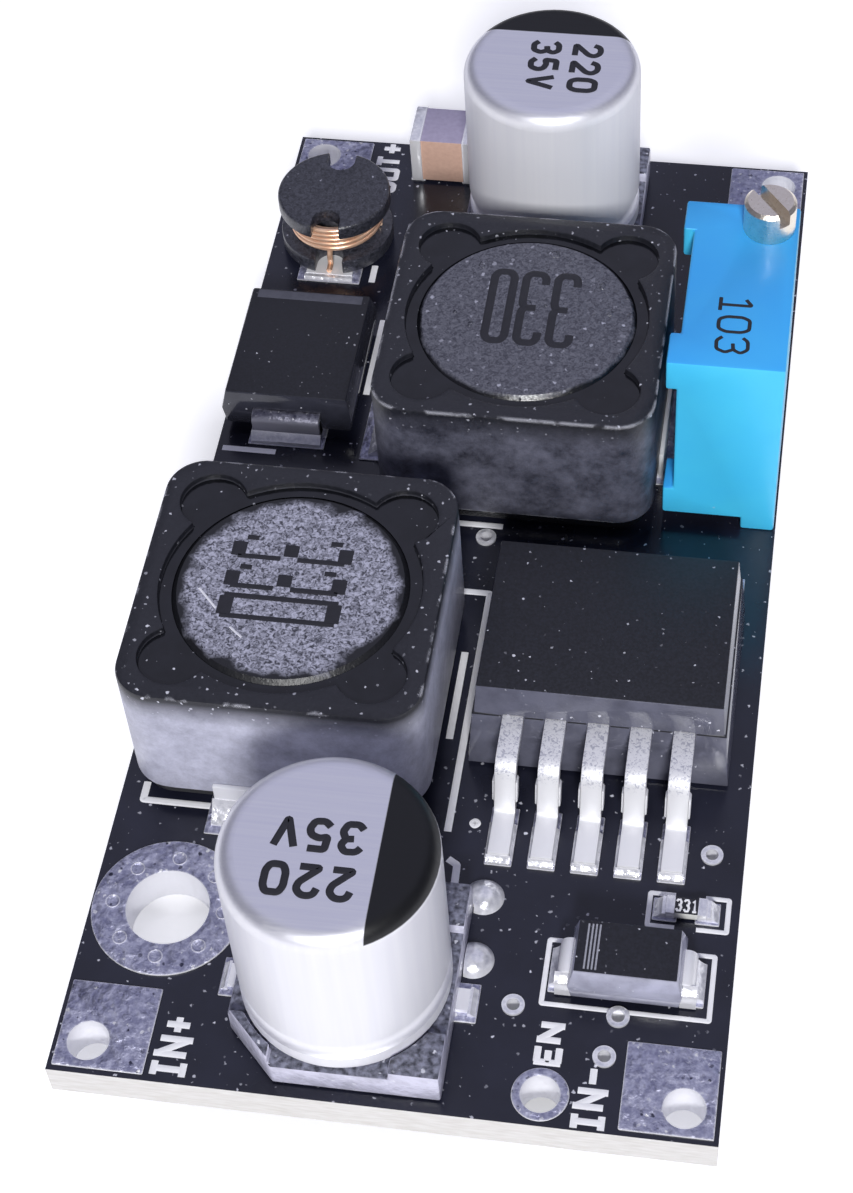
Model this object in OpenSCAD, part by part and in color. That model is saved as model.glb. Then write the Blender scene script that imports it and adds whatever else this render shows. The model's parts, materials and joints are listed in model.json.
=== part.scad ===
// Buck-boost converter module
// A two-coil switching regulator on a black board, with wire pads at both ends, a mounting hole
// and a blue multi-turn trimmer that sets the output voltage.
// The input end is the front (-Y), the output end the back (+Y), parts stand on top (+Z).
// Z = 0 is the tip of the cut trimmer pins.

/* [Board] */
// Width of the board across its short side
board_w = 25.1; // [25:0.1:30]
// Length of the board from the input end to the output end
board_l = 51.6; // [51.4:0.1:60]
// Thickness of the laminate
board_t = 1.6; // [0.8:0.1:2.4]
// Thickness of the tinned copper lands
land_t = 0.1; // [0.05:0.01:0.2]
// Length of the cut trimmer pins below the board
pin_stub = 1; // [0.9:0.1:3]

/* [Pads and holes] */
// Width of a wire pad
pad_w = 3.5; // [2.8:0.1:3.8]
// Length of a wire pad
pad_l = 3.6; // [2.8:0.1:4]
// Bore of a wire pad
wire_bore = 1.58; // [0.8:0.01:1.8]
// Bore of the mounting hole
mount_bore = 3.26; // [2.2:0.01:3.6]
// Outer diameter of the tinned ring round the mounting hole
mount_ring_d = 6; // [5.6:0.1:6.2]
// Bore of a plated via
via_bore = 0.5; // [0.3:0.01:0.6]

/* [Electrolytic capacitors] */
// Diameter of the aluminium can
can_d = 8; // [6.3:0.1:8.4]
// Height of the capacitor from its solder land to the top of the can
can_h = 10.26; // [6:0.01:12.5]
// Thickness of the plastic base under the can
can_base_t = 1.2; // [0.8:0.1:1.6]

/* [Power coils] */
// Side of the square shield
coil_w = 12; // [11:0.1:12.4]
// Height of a power coil above its solder lands
coil_h = 7.1; // [5:0.1:8]
// Thickness of the shield wall at the middle of a side
shield_wall = 0.8; // [0.6:0.05:1.2]
// Width of the glued gap between the shield and the core
glue_gap = 0.5; // [0.3:0.05:0.8]

/* [Filter coil] */
// Diameter of the open drum core
drum_d = 5.3; // [4.5:0.1:5.5]
// Height of the drum core above its solder lands
drum_h = 3.1; // [2.4:0.1:4.5]

/* [Regulator] */
// Width of the moulded body at the board
reg_w = 10.5; // [9.8:0.1:10.7]
// Length of the moulded body at the board
reg_l = 8.9; // [8.4:0.1:9.3]
// Height of the moulded body above its solder lands
reg_h = 4.3; // [4:0.05:4.8]
// Distance from lead to lead
lead_pitch = 1.7; // [1.6:0.01:1.8]
// Width of a lead
lead_w = 0.85; // [0.6:0.01:0.95]
// Thickness of a lead
lead_t = 0.45; // [0.35:0.01:0.55]

/* [Diodes] */
// Width of the rectifier body
rect_w = 5.9; // [5.5:0.1:6]
// Length of the rectifier body
rect_l = 6.9; // [6.5:0.1:7.1]
// Height of the rectifier above its solder lands
rect_h = 2.25; // [2:0.05:2.6]
// Length of the small diode body
diode_l = 4.3; // [4:0.1:4.6]
// Width of the small diode body
diode_w = 2.65; // [2.4:0.05:2.8]
// Height of the small diode above its solder lands
diode_h = 2.05; // [1.9:0.05:2.4]

/* [Chip parts] */
// Length of the chip resistor
chip_l = 1.6; // [1.5:0.05:1.8]
// Width of the chip resistor
chip_w = 0.8; // [0.7:0.05:1]
// Height of the chip resistor
chip_h = 0.45; // [0.4:0.05:0.6]
// Length of the ceramic capacitor
block_l = 3.1; // [2.8:0.1:3.4]
// Width of the ceramic capacitor
block_w = 2.5; // [2:0.1:2.7]
// Height of the ceramic capacitor
block_h = 2.6; // [1.6:0.1:2.8]

/* [Trimmer] */
// Width of the trimmer case
trim_w = 4.83; // [4.7:0.01:5.2]
// Length of the trimmer case
trim_l = 9.53; // [9.2:0.01:10]
// Height of the trimmer case above the board
trim_h = 10.1; // [9:0.1:11]
// Diameter of the slotted screw head
head_d = 2.2; // [1.8:0.05:2.4]
// Height of the slotted screw head above the case
head_h = 1.5; // [1:0.1:2]
// Distance from trimmer pin to trimmer pin
pin_pitch = 2.54; // [2.4:0.01:2.6]

/* [Hidden] */
$fn = 48;

// cutting tools reach this far past the faces they cut
over = 0.5;
// room left round a piece that is plated, glued or cast into another
fit = 0.01;

// heights of the board faces and of the land faces
under_z = pin_stub;
top_z = pin_stub + board_t;
land_z = top_z + land_t;

// edges of the board
right = board_w / 2;
back = board_l / 2;

// plated holes: wall of the barrel and margins at the board edge
plate_t = 0.16;
via_plate = 0.06;
pad_side_margin = 0.18;
pad_end_margin = 0.2;
pad_x = right - pad_side_margin - pad_w / 2;
pad_y = back - pad_end_margin - pad_l / 2;
// a wire hole sits in the outer corner of its pad
wire_side = 1.35;
wire_end = 1.32;
wire_x = right - wire_side;
wire_y = back - wire_end;
enable_bore = 1.46;
enable_ring_d = 2.15;
enable_end = 1.24;
enable_gap = 2.97;
enable_at = [pad_x - pad_w / 2 - enable_gap, -back + enable_end];
via_ring = 0.13;
via_edge = 1.28;
via_gap = 0.81;
// least distance between the lands of two nets
copper_gap = 0.1;

// mounting hole in the front left corner with a ring of stitching vias
mount_margin = 0.06;
mount_pad_gap = 0.53;
mount_at = [
    -right + mount_margin + mount_ring_d / 2,
    -back + pad_end_margin + pad_l + mount_pad_gap + mount_ring_d / 2
];
stitch_count = 8;
stitch_wall = 0.57;
stitch_r = mount_bore / 2 + stitch_wall;

// capacitor bases are a little wider than their cans
can_base_w = can_d + 0.3;
can_rim = 0.75;
can_foot = 0.3;
groove_r = 0.6;
groove_deep = 0.25;
groove_z = 1.35;
base_chamfer = 2;
base_ear_h = 0.5;
base_ear_w = 1.9;
base_ear_ease = 0.12;
can_lead_w = 0.9;
can_lead_t = 0.25;
can_lead_out = 0.45;
can_lead_gap = 3.1;
can_land_w = 1.65;
can_land_out = 0.8;
cap_ring_gap = 0.52;
input_cap_end = 0.48;
output_cap_end = 0.97;
output_cap_x = 0.79;
input_cap_at = [
    mount_at[0] + mount_ring_d / 2 + cap_ring_gap + can_base_w / 2,
    -back + input_cap_end + can_base_w / 2
];
output_cap_at = [output_cap_x, back - output_cap_end - can_base_w / 2];
via_cap_gap = 1.29;
via_at = [
    [right - via_edge, -13.58], [8.39, -21.05], [pad_x - pad_w / 2 - via_gap, -22.75], [0.2, 1.3],
    [input_cap_at[0] + can_base_w / 2 + can_land_out + via_cap_gap, -21.03]
];

// solder-filled holes beside the input capacitor
mound_r = 0.8;
mound_h = 0.5;
mound_side = 0.33;
mound_cut = 0.03;
mound_x = input_cap_at[0] + can_base_w / 2 + mound_side;
mound_at = [[mound_x, -16.5], [mound_x, -19.3]];

// the trimmer stands at the right edge, the rear coil just left of it
trim_side = 0.08;
trim_y = 7.82;
trim_at = [right - trim_side - trim_w / 2, trim_y];
coil_trim_gap = 0.37;
coil_side = 0.52;
rear_coil_y = 7.89;
front_coil_y = -7.62;
rear_coil_at = [trim_at[0] - trim_w / 2 - coil_trim_gap - coil_w / 2, rear_coil_y];
front_coil_at = [-right + coil_side + coil_w / 2, front_coil_y];

// power coil build-up
coil_corner = 1.6;
terminal_t = 0.25;
terminal_w = 5;
terminal_skin = 0.2;
terminal_in = 1.8;
terminal_up = 1.6;
core_plate_t = 0.6;
core_plate_in = 0.3;
core_plate_w = coil_w - 2 * core_plate_in;
core_sink = 0.1;
winding_gap = 0.05;
shield_z = terminal_t + core_plate_t + 0.05;
hole_r = coil_w / 2 - shield_wall;
core_r = hole_r - glue_gap;
lobe_r = 1.35;
lobe_c = hole_r * 0.75;
core_drop = 0.15;
core_rim = 0.2;
core_flange = 1.2;
core_foot = 0.8;
core_post_r = 2.2;
winding_r = core_r - 0.4;
glue_drop = 0.3;
glue_t = 0.6;
coil_land_w = 5.6;
coil_land_out = 1.35;
coil_land_in = 1.5;

// filter coil build-up
drum_side = 3.1;
drum_y = 18.85;
drum_at = [-right + drum_side, drum_y];
drum_flange = 0.75;
drum_edge = 0.1;
drum_post_r = 1.1;
drum_winding_r = drum_d / 2 - 0.45;
notch_w = 1.3;
notch_deep = 1.25;
drum_foot_w = 2.2;
drum_foot_l = 1.3;
drum_foot_t = 0.15;
drum_land_w = 3;
drum_land_out = 0.35;

// regulator build-up: a drafted body, a parting ledge at lead height and a copper tab
reg_at = [6.38, -5.95];
reg_split = 2.8;
reg_ledge = 0.07;
reg_side_draft = 0.3;
reg_end_draft = 0.68;
tab_w = 9.6;
tab_t = 1.27;
tab_out = 1.45;
tab_in = 7;
tab_corner = 1;
lead_count = 5;
lead_bend = 0.5;
lead_slope = 75;
lead_steps = 8;
lead_run = 1.7;
lead_foot = 1.75;
lead_deep = 0.7;
lead_stub_l = 1;
lead_stub_out = 0.08;
lead_mid = reg_split - lead_t / 2;
lead_land_w = 1.1;
lead_land_l = 2.7;
lead_land_out = 0.25;
tab_land_side = 0.3;
lead_front = reg_l / 2 - reg_end_draft * reg_split / reg_h;

// diode build-up
rect_at = [-9.47, 9.72];
diode_at = [8.57, -19.37];
mould_draft = 0.22;
strap_t = 0.22;
strap_bend = 0.4;
strap_out = 0.45;
strap_foot = 1.35;
rect_strap_w = 3.05;
diode_strap_w = 1.5;
strap_land_out = 0.35;
strap_land_in = 0.6;
strap_land_side = 0.2;
mould_lift = 0.05;

// chip parts
chip_side = 2.04;
chip_y = -16.25;
chip_at = [right - chip_side, chip_y];
chip_end = 0.35;
chip_skin = 0.04;
block_end = 0.55;
block_cap_gap = 0.12;
block_end_gap = 0.15;
block_land_side = 0.1;
block_at = [
    output_cap_at[0] - can_base_w / 2 - block_cap_gap - block_l / 2,
    back - block_end_gap - block_w / 2
];
chip_land_out = 0.5;
chip_land_in = 0.1;
chip_land_side = 0.1;

// trimmer build-up
trim_wall = 0.5;
trim_top_wall = 1;
trim_foot_h = 0.7;
trim_foot = 1.45;
trim_recess = 0.45;
trim_pad_l = 1.75;
trim_pad_h = 1.6;
trim_base_t = 1.2;
pin_d = 0.5;
pin_deep = 0.9;
pin_hole_d = 0.9;
pin_ring_d = 1.7;
solder_h = 0.7;
solder_tip_r = 0.32;
solder_edge = 0.05;
screw_side = 1.27;
screw_at = [trim_at[0] + trim_w / 2 - screw_side, trim_at[1] + trim_l / 2 - screw_side];
slot_w = 0.5;
slot_deep = 0.65;
slot_turn = 128;
head_edge = 0.15;
neck_r = 0.65;
run_fit = 0.03;
collar_r = 0.72;
collar_t = 0.2;
seal_r = 0.14;
case_inside_z = top_z + trim_h - trim_top_wall;
base_inside_z = top_z + trim_foot_h + trim_base_t;
screw_tip_z = base_inside_z + 0.1;
element_t = 0.6;
element_gap = 0.05;
element_side = 0.1;
wiper_w = 1.75;
wiper_h = 1.2;
cavity_left = trim_at[0] - trim_w / 2 + trim_recess + trim_wall;
cavity_right = trim_at[0] + trim_w / 2 - trim_wall;
cavity_half = trim_l / 2 - trim_wall;
// the wiper rests half way along the screw
wiper_z = (base_inside_z + case_inside_z - collar_t) / 2;

// colours
mask_black = [0.06, 0.06, 0.08];
tin_grey = [0.7, 0.7, 0.76];
solder_grey = [0.82, 0.82, 0.85];
can_grey = [0.8, 0.8, 0.84];
plastic_black = [0.1, 0.1, 0.11];
ferrite_grey = [0.22, 0.22, 0.24];
core_grey = [0.45, 0.45, 0.48];
copper_red = [0.72, 0.4, 0.24];
glue_black = [0.05, 0.05, 0.06];
epoxy_black = [0.12, 0.12, 0.13];
ceramic_tan = [0.72, 0.5, 0.36];
ceramic_white = [0.88, 0.88, 0.85];
case_blue = [0.12, 0.46, 0.95];
resin_blue = [0.25, 0.4, 0.6];
brass_gold = [0.78, 0.66, 0.42];
seal_black = [0.15, 0.15, 0.15];

// Flat outline with rounded corners, centred
module rounded_rect(w, l, r) {
    square([w - 2 * r, l], center = true);
    square([w, l - 2 * r], center = true);
    for (sx = [-1, 1], sy = [-1, 1])
        translate([sx * (w / 2 - r), sy * (l / 2 - r)])
            circle(r = r);
}

// Block whose four sides lean in evenly from a w by l foot to a smaller top
module drafted_block(w, l, h, side_in, end_in) {
    intersection() {
        translate([0, l / 2 + over, 0])
            rotate([90, 0, 0])
                linear_extrude(l + 2 * over)
                    polygon([[-w / 2, 0], [w / 2, 0], [w / 2 - side_in, h], [-w / 2 + side_in, h]]);
        rotate([90, 0, 90])
            translate([0, 0, -w / 2 - over])
                linear_extrude(w + 2 * over)
                    polygon([[-l / 2, 0], [l / 2, 0], [l / 2 - end_in, h], [-l / 2 + end_in, h]]);
    }
}

// Barrel between two round lands, bored right through the board
module plated_hole(bore, ring_d, wall) {
    difference() {
        union() {
            translate([0, 0, under_z - land_t])
                cylinder(d = bore + 2 * wall, h = board_t + 2 * land_t);
            translate([0, 0, under_z - land_t])
                cylinder(d = ring_d, h = land_t);
            translate([0, 0, top_z])
                cylinder(d = ring_d, h = land_t);
        }
        through_bore(bore);
    }
}

// Bore from below the lower land to above the upper land
module through_bore(bore) {
    translate([0, 0, under_z - land_t - over])
        cylinder(d = bore, h = board_t + 2 * land_t + 2 * over);
}

// Hole in the laminate that a barrel of the given bore is plated into
module barrel_hole(bore, wall) {
    through_bore(bore + 2 * wall + 2 * fit);
}

// Places of the stitching vias round the mounting hole
module at_stitches() {
    for (i = [0 : stitch_count - 1])
        translate([mount_at[0], mount_at[1], 0])
            rotate([0, 0, i * 360 / stitch_count])
                translate([stitch_r, 0, 0])
                    children();
}

module circuit_board() {
    color(mask_black)
        difference() {
            translate([-right, -back, under_z])
                cube([board_w, board_l, board_t]);
            translate([mount_at[0], mount_at[1], 0])
                barrel_hole(mount_bore, plate_t);
            at_stitches()
                barrel_hole(via_bore, via_plate);
            for (sx = [-1, 1], sy = [-1, 1])
                translate([sx * wire_x, sy * wire_y, 0])
                    barrel_hole(wire_bore, plate_t);
            translate([enable_at[0], enable_at[1], 0])
                barrel_hole(enable_bore, plate_t);
            for (p = via_at)
                translate([p[0], p[1], 0])
                    barrel_hole(via_bore, via_plate);
            at_trimmer_pins()
                barrel_hole(pin_hole_d, via_plate);
        }
}

module mounting_ring() {
    color(tin_grey)
        difference() {
            union() {
                translate([mount_at[0], mount_at[1], 0])
                    plated_hole(mount_bore, mount_ring_d, plate_t);
                at_stitches()
                    translate([0, 0, under_z])
                        cylinder(d = via_bore + 2 * via_plate, h = board_t);
            }
            at_stitches()
                through_bore(via_bore);
        }
}

// Square wire pad on both faces with its barrel; side and end give the corner of the board
module wire_pad(side, end) {
    color(tin_grey)
        difference() {
            union() {
                for (z = [under_z - land_t, top_z])
                    translate([side * pad_x - pad_w / 2, end * pad_y - pad_l / 2, z])
                        cube([pad_w, pad_l, land_t]);
                translate([side * wire_x, end * wire_y, under_z - land_t])
                    cylinder(d = wire_bore + 2 * plate_t, h = board_t + 2 * land_t);
            }
            translate([side * wire_x, end * wire_y, 0])
                through_bore(wire_bore);
        }
}

module enable_pad() {
    color(tin_grey)
        translate([enable_at[0], enable_at[1], 0])
            plated_hole(enable_bore, enable_ring_d, plate_t);
}

module plated_vias() {
    color(tin_grey)
        for (p = via_at)
            translate([p[0], p[1], 0])
                plated_hole(via_bore, via_bore + 2 * via_plate + 2 * via_ring, via_plate);
}

// One flat solder land, centred
module land(w, l) {
    translate([-w / 2, -l / 2, top_z])
        cube([w, l, land_t]);
}

// Pair of lands along X: near is the inner end of each, far the outer end
module land_pair(near, far, across) {
    for (s = [-1, 1])
        translate([s * (near + far) / 2, 0, 0])
            land(far - near, across);
}

// Room that the pads, rings and solder mounds keep round them
module other_copper() {
    tall = 3 * land_t;
    translate([0, 0, top_z - land_t]) {
        for (sx = [-1, 1], sy = [-1, 1])
            translate([sx * pad_x, sy * pad_y, tall / 2])
                cube([pad_w + 2 * copper_gap, pad_l + 2 * copper_gap, tall], center = true);
        translate([mount_at[0], mount_at[1], 0])
            cylinder(d = mount_ring_d + 2 * copper_gap, h = tall);
        translate([enable_at[0], enable_at[1], 0])
            cylinder(d = enable_ring_d + 2 * copper_gap, h = tall);
        for (p = mound_at)
            translate([p[0], p[1], 0])
                cylinder(r = mound_r + copper_gap, h = tall);
    }
}

module component_lands() {
    can_far = can_base_w / 2 + can_land_out;
    coil_near = coil_w / 2 - coil_land_in;
    coil_far = coil_w / 2 + coil_land_out;
    rect_far = rect_l / 2 + strap_out;
    diode_far = diode_l / 2 + strap_out;
    color(tin_grey)
        difference() {
            union() {
                translate([input_cap_at[0], input_cap_at[1], 0])
                    land_pair(can_lead_gap / 2, can_far, can_land_w);
                translate([output_cap_at[0], output_cap_at[1], 0])
                    rotate([0, 0, 90])
                        land_pair(can_lead_gap / 2, can_far, can_land_w);
                translate([front_coil_at[0], front_coil_at[1], 0])
                    rotate([0, 0, 90])
                        land_pair(coil_near, coil_far, coil_land_w);
                translate([rear_coil_at[0], rear_coil_at[1], 0])
                    land_pair(coil_near, coil_far, coil_land_w);
                translate([drum_at[0], drum_at[1], 0])
                    rotate([0, 0, 90])
                        land_pair(drum_d / 2 - drum_foot_l, drum_d / 2 + drum_land_out, drum_land_w);
                translate([rect_at[0], rect_at[1], 0])
                    rotate([0, 0, 90])
                        land_pair(rect_far - strap_foot - strap_land_in, rect_far + strap_land_out,
                            rect_strap_w + 2 * strap_land_side);
                translate([diode_at[0], diode_at[1], 0])
                    land_pair(diode_far - strap_foot, diode_far + strap_land_out,
                        diode_strap_w + 2 * strap_land_side);
                translate([chip_at[0], chip_at[1], 0])
                    land_pair(chip_l / 2 - chip_end - chip_land_in, chip_l / 2 + chip_land_out,
                        chip_w + 2 * chip_land_side);
                translate([block_at[0], block_at[1], 0])
                    land_pair(block_l / 2 - block_end - chip_land_in, block_l / 2 + block_cap_gap / 2,
                        block_w - 2 * block_land_side);
                translate([reg_at[0], reg_at[1] + reg_l / 2 + tab_out - tab_in / 2, 0])
                    land(tab_w + 2 * tab_land_side, tab_in + 2 * tab_land_side);
                at_leads()
                    translate([0, lead_land_l / 2 - lead_land_out, 0])
                        land(lead_land_w, lead_land_l);
            }
            other_copper();
        }
}

module solder_mounds() {
    ball_r = (mound_r * mound_r + mound_h * mound_h) / (2 * mound_h);
    color(solder_grey)
        difference() {
            for (p = mound_at)
                translate([p[0], p[1], top_z])
                    intersection() {
                        translate([0, 0, mound_h - ball_r])
                            sphere(r = ball_r);
                        cylinder(r = mound_r + over, h = mound_h + over);
                    }
            translate([input_cap_at[0], input_cap_at[1], top_z - over])
                linear_extrude(can_h)
                    square(can_base_w + 2 * mound_cut, center = true);
            at_input_capacitor()
                capacitor_leads();
        }
}

// Capacitor parts are drawn at the origin with the plus lead towards -X

module can_base_outline() {
    h = can_base_w / 2;
    c = base_chamfer;
    polygon([[-h, -h + c], [-h + c, -h], [h, -h], [h, h], [-h + c, h], [-h, h - c]]);
}

module capacitor_leads() {
    color(tin_grey)
        for (m = [0, 1])
            mirror([m, 0, 0])
                translate([can_lead_gap / 2, -can_lead_w / 2, 0])
                    cube([can_base_w / 2 + can_lead_out - can_lead_gap / 2, can_lead_w, can_lead_t]);
}

// Plastic base with a raised ear in each corner and a groove for each lead
module capacitor_base() {
    ear = can_base_w / 2 - base_ear_w / 2;
    color(plastic_black)
        difference() {
            union() {
                linear_extrude(can_base_t)
                    can_base_outline();
                linear_extrude(can_base_t + base_ear_h)
                    intersection() {
                        can_base_outline();
                        difference() {
                            for (sx = [-1, 1], sy = [-1, 1])
                                translate([sx * ear, sy * ear])
                                    square(base_ear_w + fit, center = true);
                            circle(r = can_d / 2 + base_ear_ease);
                        }
                    }
            }
            capacitor_leads();
        }
}

// Can with a rounded rim, a rounded foot and a crimped groove above the base
module capacitor_can() {
    r = can_d / 2;
    h = can_h - can_base_t;
    color(can_grey)
        translate([0, 0, can_base_t])
            rotate_extrude()
                difference() {
                    union() {
                        square([r - can_rim, h]);
                        square([r - can_foot, h - can_rim]);
                        translate([0, can_foot])
                            square([r, h - can_foot - can_rim]);
                        translate([r - can_foot, can_foot])
                            circle(r = can_foot);
                        translate([r - can_rim, h - can_rim])
                            circle(r = can_rim);
                    }
                    translate([r + groove_r - groove_deep, groove_z])
                        circle(r = groove_r);
                }
}

module at_input_capacitor() {
    translate([input_cap_at[0], input_cap_at[1], land_z])
        children();
}

// the output capacitor has its minus side towards the back
module at_output_capacitor() {
    translate([output_cap_at[0], output_cap_at[1], land_z])
        rotate([0, 0, 90])
            children();
}

// Power coil parts are drawn at the origin with their terminals towards -X and +X

module coil_hole(ease) {
    circle(r = hole_r - ease);
    for (sx = [-1, 1], sy = [-1, 1])
        translate([sx * lobe_c, sy * lobe_c])
            circle(r = lobe_r - ease);
}

module coil_shield() {
    color(ferrite_grey)
        translate([0, 0, shield_z])
            linear_extrude(coil_h - shield_z)
                difference() {
                    rounded_rect(coil_w, coil_w, coil_corner);
                    coil_hole(0);
                }
}

// Drum core on a square foot plate
module coil_core() {
    top = coil_h - core_drop;
    foot = terminal_t + core_plate_t;
    color(core_grey) {
        translate([0, 0, terminal_t])
            linear_extrude(core_plate_t)
                rounded_rect(core_plate_w, core_plate_w, coil_corner - core_plate_in);
        rotate_extrude()
            polygon([
                [0, terminal_t + core_sink], [core_r, terminal_t + core_sink], [core_r, foot + core_foot],
                [core_post_r, foot + core_foot], [core_post_r, top - core_flange],
                [core_r, top - core_flange], [core_r, top - core_rim], [core_r - core_rim, top], [0, top]
            ]);
    }
}

module coil_winding() {
    low = terminal_t + core_plate_t + core_foot + winding_gap;
    high = coil_h - core_drop - core_flange - winding_gap;
    color(copper_red)
        translate([0, 0, low])
            difference() {
                cylinder(r = winding_r, h = high - low);
                translate([0, 0, -over])
                    cylinder(r = core_post_r + fit, h = high - low + 2 * over);
            }
}

module coil_glue() {
    color(glue_black)
        translate([0, 0, coil_h - glue_drop - glue_t])
            linear_extrude(glue_t)
                difference() {
                    coil_hole(fit);
                    circle(r = core_r + fit);
                }
}

// Two sheet terminals: a foot under the core plate and a lip up the side of the shield
module coil_terminals() {
    side = coil_w / 2 + fit;
    color(tin_grey)
        for (m = [0, 1])
            mirror([m, 0, 0]) {
                translate([coil_w / 2 - terminal_in, -terminal_w / 2, 0])
                    cube([terminal_in + fit + terminal_skin, terminal_w, terminal_t]);
                translate([side, -terminal_w / 2, 0])
                    cube([terminal_skin, terminal_w, terminal_up]);
            }
}

module at_front_coil() {
    translate([front_coil_at[0], front_coil_at[1], land_z])
        rotate([0, 0, 90])
            children();
}

module at_rear_coil() {
    translate([rear_coil_at[0], rear_coil_at[1], land_z])
        children();
}

module at_filter_coil() {
    translate([drum_at[0], drum_at[1], land_z])
        children();
}

// Open drum core with a wire notch at the front and at the back of each flange
module filter_coil_core() {
    r = drum_d / 2;
    low = drum_foot_t;
    color(ferrite_grey)
        at_filter_coil()
            difference() {
                rotate_extrude()
                    polygon([
                        [0, low], [r, low], [r, low + drum_flange], [drum_post_r, low + drum_flange],
                        [drum_post_r, drum_h - drum_flange], [r, drum_h - drum_flange],
                        [r, drum_h - drum_edge], [r - drum_edge, drum_h], [0, drum_h]
                    ]);
                for (s = [-1, 1]) {
                    translate([0, s * (r - notch_deep + notch_w / 2), -over])
                        cylinder(d = notch_w, h = drum_h + 2 * over);
                    translate([-notch_w / 2, s > 0 ? r - notch_deep + notch_w / 2 : -r - over, -over])
                        cube([notch_w, notch_deep - notch_w / 2 + over, drum_h + 2 * over]);
                }
            }
}

module filter_coil_winding() {
    low = drum_foot_t + drum_flange + winding_gap;
    high = drum_h - drum_flange - winding_gap;
    color(copper_red)
        at_filter_coil()
            translate([0, 0, low])
                difference() {
                    cylinder(r = drum_winding_r, h = high - low);
                    translate([0, 0, -over])
                        cylinder(r = drum_post_r + fit, h = high - low + 2 * over);
                }
}

module filter_coil_terminals() {
    color(tin_grey)
        at_filter_coil()
            for (s = [-1, 1])
                translate([0, s * (drum_d / 2 - drum_foot_l / 2), drum_foot_t / 2])
                    cube([drum_foot_w, drum_foot_l, drum_foot_t], center = true);
}

module at_regulator() {
    translate([reg_at[0], reg_at[1], land_z])
        children();
}

// Side view of a gull-wing lead: the first bend turns it down, the second flat onto its land
lead_drop = lead_mid - lead_t / 2;
lead_fall = (lead_drop - 2 * lead_bend * (1 - cos(lead_slope))) / sin(lead_slope);
bend_one = [lead_run, lead_mid - lead_bend];
bend_two = [
    lead_run + 2 * lead_bend * sin(lead_slope) + lead_fall * cos(lead_slope),
    lead_t / 2 + lead_bend
];
lead_reach = bend_two[0] + lead_foot;

// Points of an arc from one angle to another
function arc(c, r, from, to) = [
    for (i = [0 : lead_steps])
        c + r * [cos(from + (to - from) * i / lead_steps), sin(from + (to - from) * i / lead_steps)]
];

// Places of the ends of the lead feet, on the board
module at_leads() {
    for (i = [0 : lead_count - 1])
        translate([
            reg_at[0] + (i - (lead_count - 1) / 2) * lead_pitch,
            reg_at[1] - lead_front - lead_reach,
            0
        ])
            children();
}

// Gull-wing lead: X runs out of the body, Z = 0 is the land. Half-way down the slope it is wider,
// where the bar that held the leads together was cut off
module gull_lead() {
    wide = lead_bend + lead_t / 2;
    tight = lead_bend - lead_t / 2;
    turn = 90 - lead_slope;
    rotate([90, 0, 0]) {
        linear_extrude(lead_w, center = true)
            polygon(concat(
                [[-lead_deep, lead_mid + lead_t / 2]],
                arc(bend_one, wide, 90, turn),
                arc(bend_two, tight, turn + 180, 270),
                [[lead_reach, lead_t], [lead_reach, 0]],
                arc(bend_two, wide, 270, turn + 180),
                arc(bend_one, tight, turn, 90),
                [[-lead_deep, lead_mid - lead_t / 2]]
            ));
        linear_extrude(lead_w + 2 * lead_stub_out, center = true)
            translate((bend_one + bend_two) / 2)
                rotate(-lead_slope)
                    square([lead_stub_l, lead_t], center = true);
    }
}

module regulator_leads() {
    color(tin_grey)
        at_regulator()
            for (i = [0 : lead_count - 1])
                translate([(i - (lead_count - 1) / 2) * lead_pitch, -lead_front, 0])
                    rotate([0, 0, -90])
                        gull_lead();
}

// Copper tab that runs under the body and shows behind it, with cut corners
module regulator_tab() {
    h = tab_w / 2;
    far = reg_l / 2 + tab_out;
    near = far - tab_in;
    color(tin_grey)
        at_regulator()
            linear_extrude(tab_t)
                polygon([[-h, near], [h, near], [h, far - tab_corner], [h - tab_corner, far],
                    [-h + tab_corner, far], [-h, far - tab_corner]]);
}

// Moulded body in two drafted halves with a narrow ledge where the mould parts
module regulator_body() {
    low_share = reg_split / reg_h;
    color(epoxy_black)
        difference() {
            at_regulator() {
                translate([0, 0, mould_lift])
                    drafted_block(reg_w, reg_l, reg_split - mould_lift, reg_side_draft * low_share,
                        reg_end_draft * low_share);
                translate([0, 0, reg_split])
                    drafted_block(reg_w - 2 * reg_side_draft * low_share - 2 * reg_ledge,
                        reg_l - 2 * reg_end_draft * low_share - 2 * reg_ledge, reg_h - reg_split,
                        reg_side_draft * (1 - low_share), reg_end_draft * (1 - low_share));
            }
            regulator_tab();
            regulator_leads();
        }
}

// Two-terminal moulded parts are drawn at the origin with their terminals towards -X and +X

// Sheet strap that leaves the body at half height and folds down and under it
module strap(body_l, w, mid) {
    far = body_l / 2 + strap_out;
    long = strap_out + strap_foot;
    tall = mid + strap_t / 2;
    translate([far - long / 2, w / 2, tall / 2])
        rotate([90, 0, 0])
            linear_extrude(w)
                difference() {
                    rounded_rect(long, tall, strap_bend);
                    rounded_rect(long - 2 * strap_t, tall - 2 * strap_t, strap_bend - strap_t);
                    translate([-long / 2 - over, -tall / 2 + strap_t])
                        square([over + strap_bend, tall - 2 * strap_t]);
                }
}

module strap_pair(body_l, w, mid) {
    for (m = [0, 1])
        mirror([m, 0, 0])
            strap(body_l, w, mid);
}

// Body with equal draft above and below its parting line
module moulded_body(l, w, h, strap_w) {
    low = strap_t + mould_lift;
    mid = (low + h) / 2;
    difference() {
        union() {
            translate([0, 0, mid])
                drafted_block(l, w, h - mid, mould_draft, mould_draft);
            translate([0, 0, mid])
                mirror([0, 0, 1])
                    drafted_block(l, w, mid - low, mould_draft / 2, mould_draft / 2);
        }
        strap_pair(l, strap_w, mid);
    }
}

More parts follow.
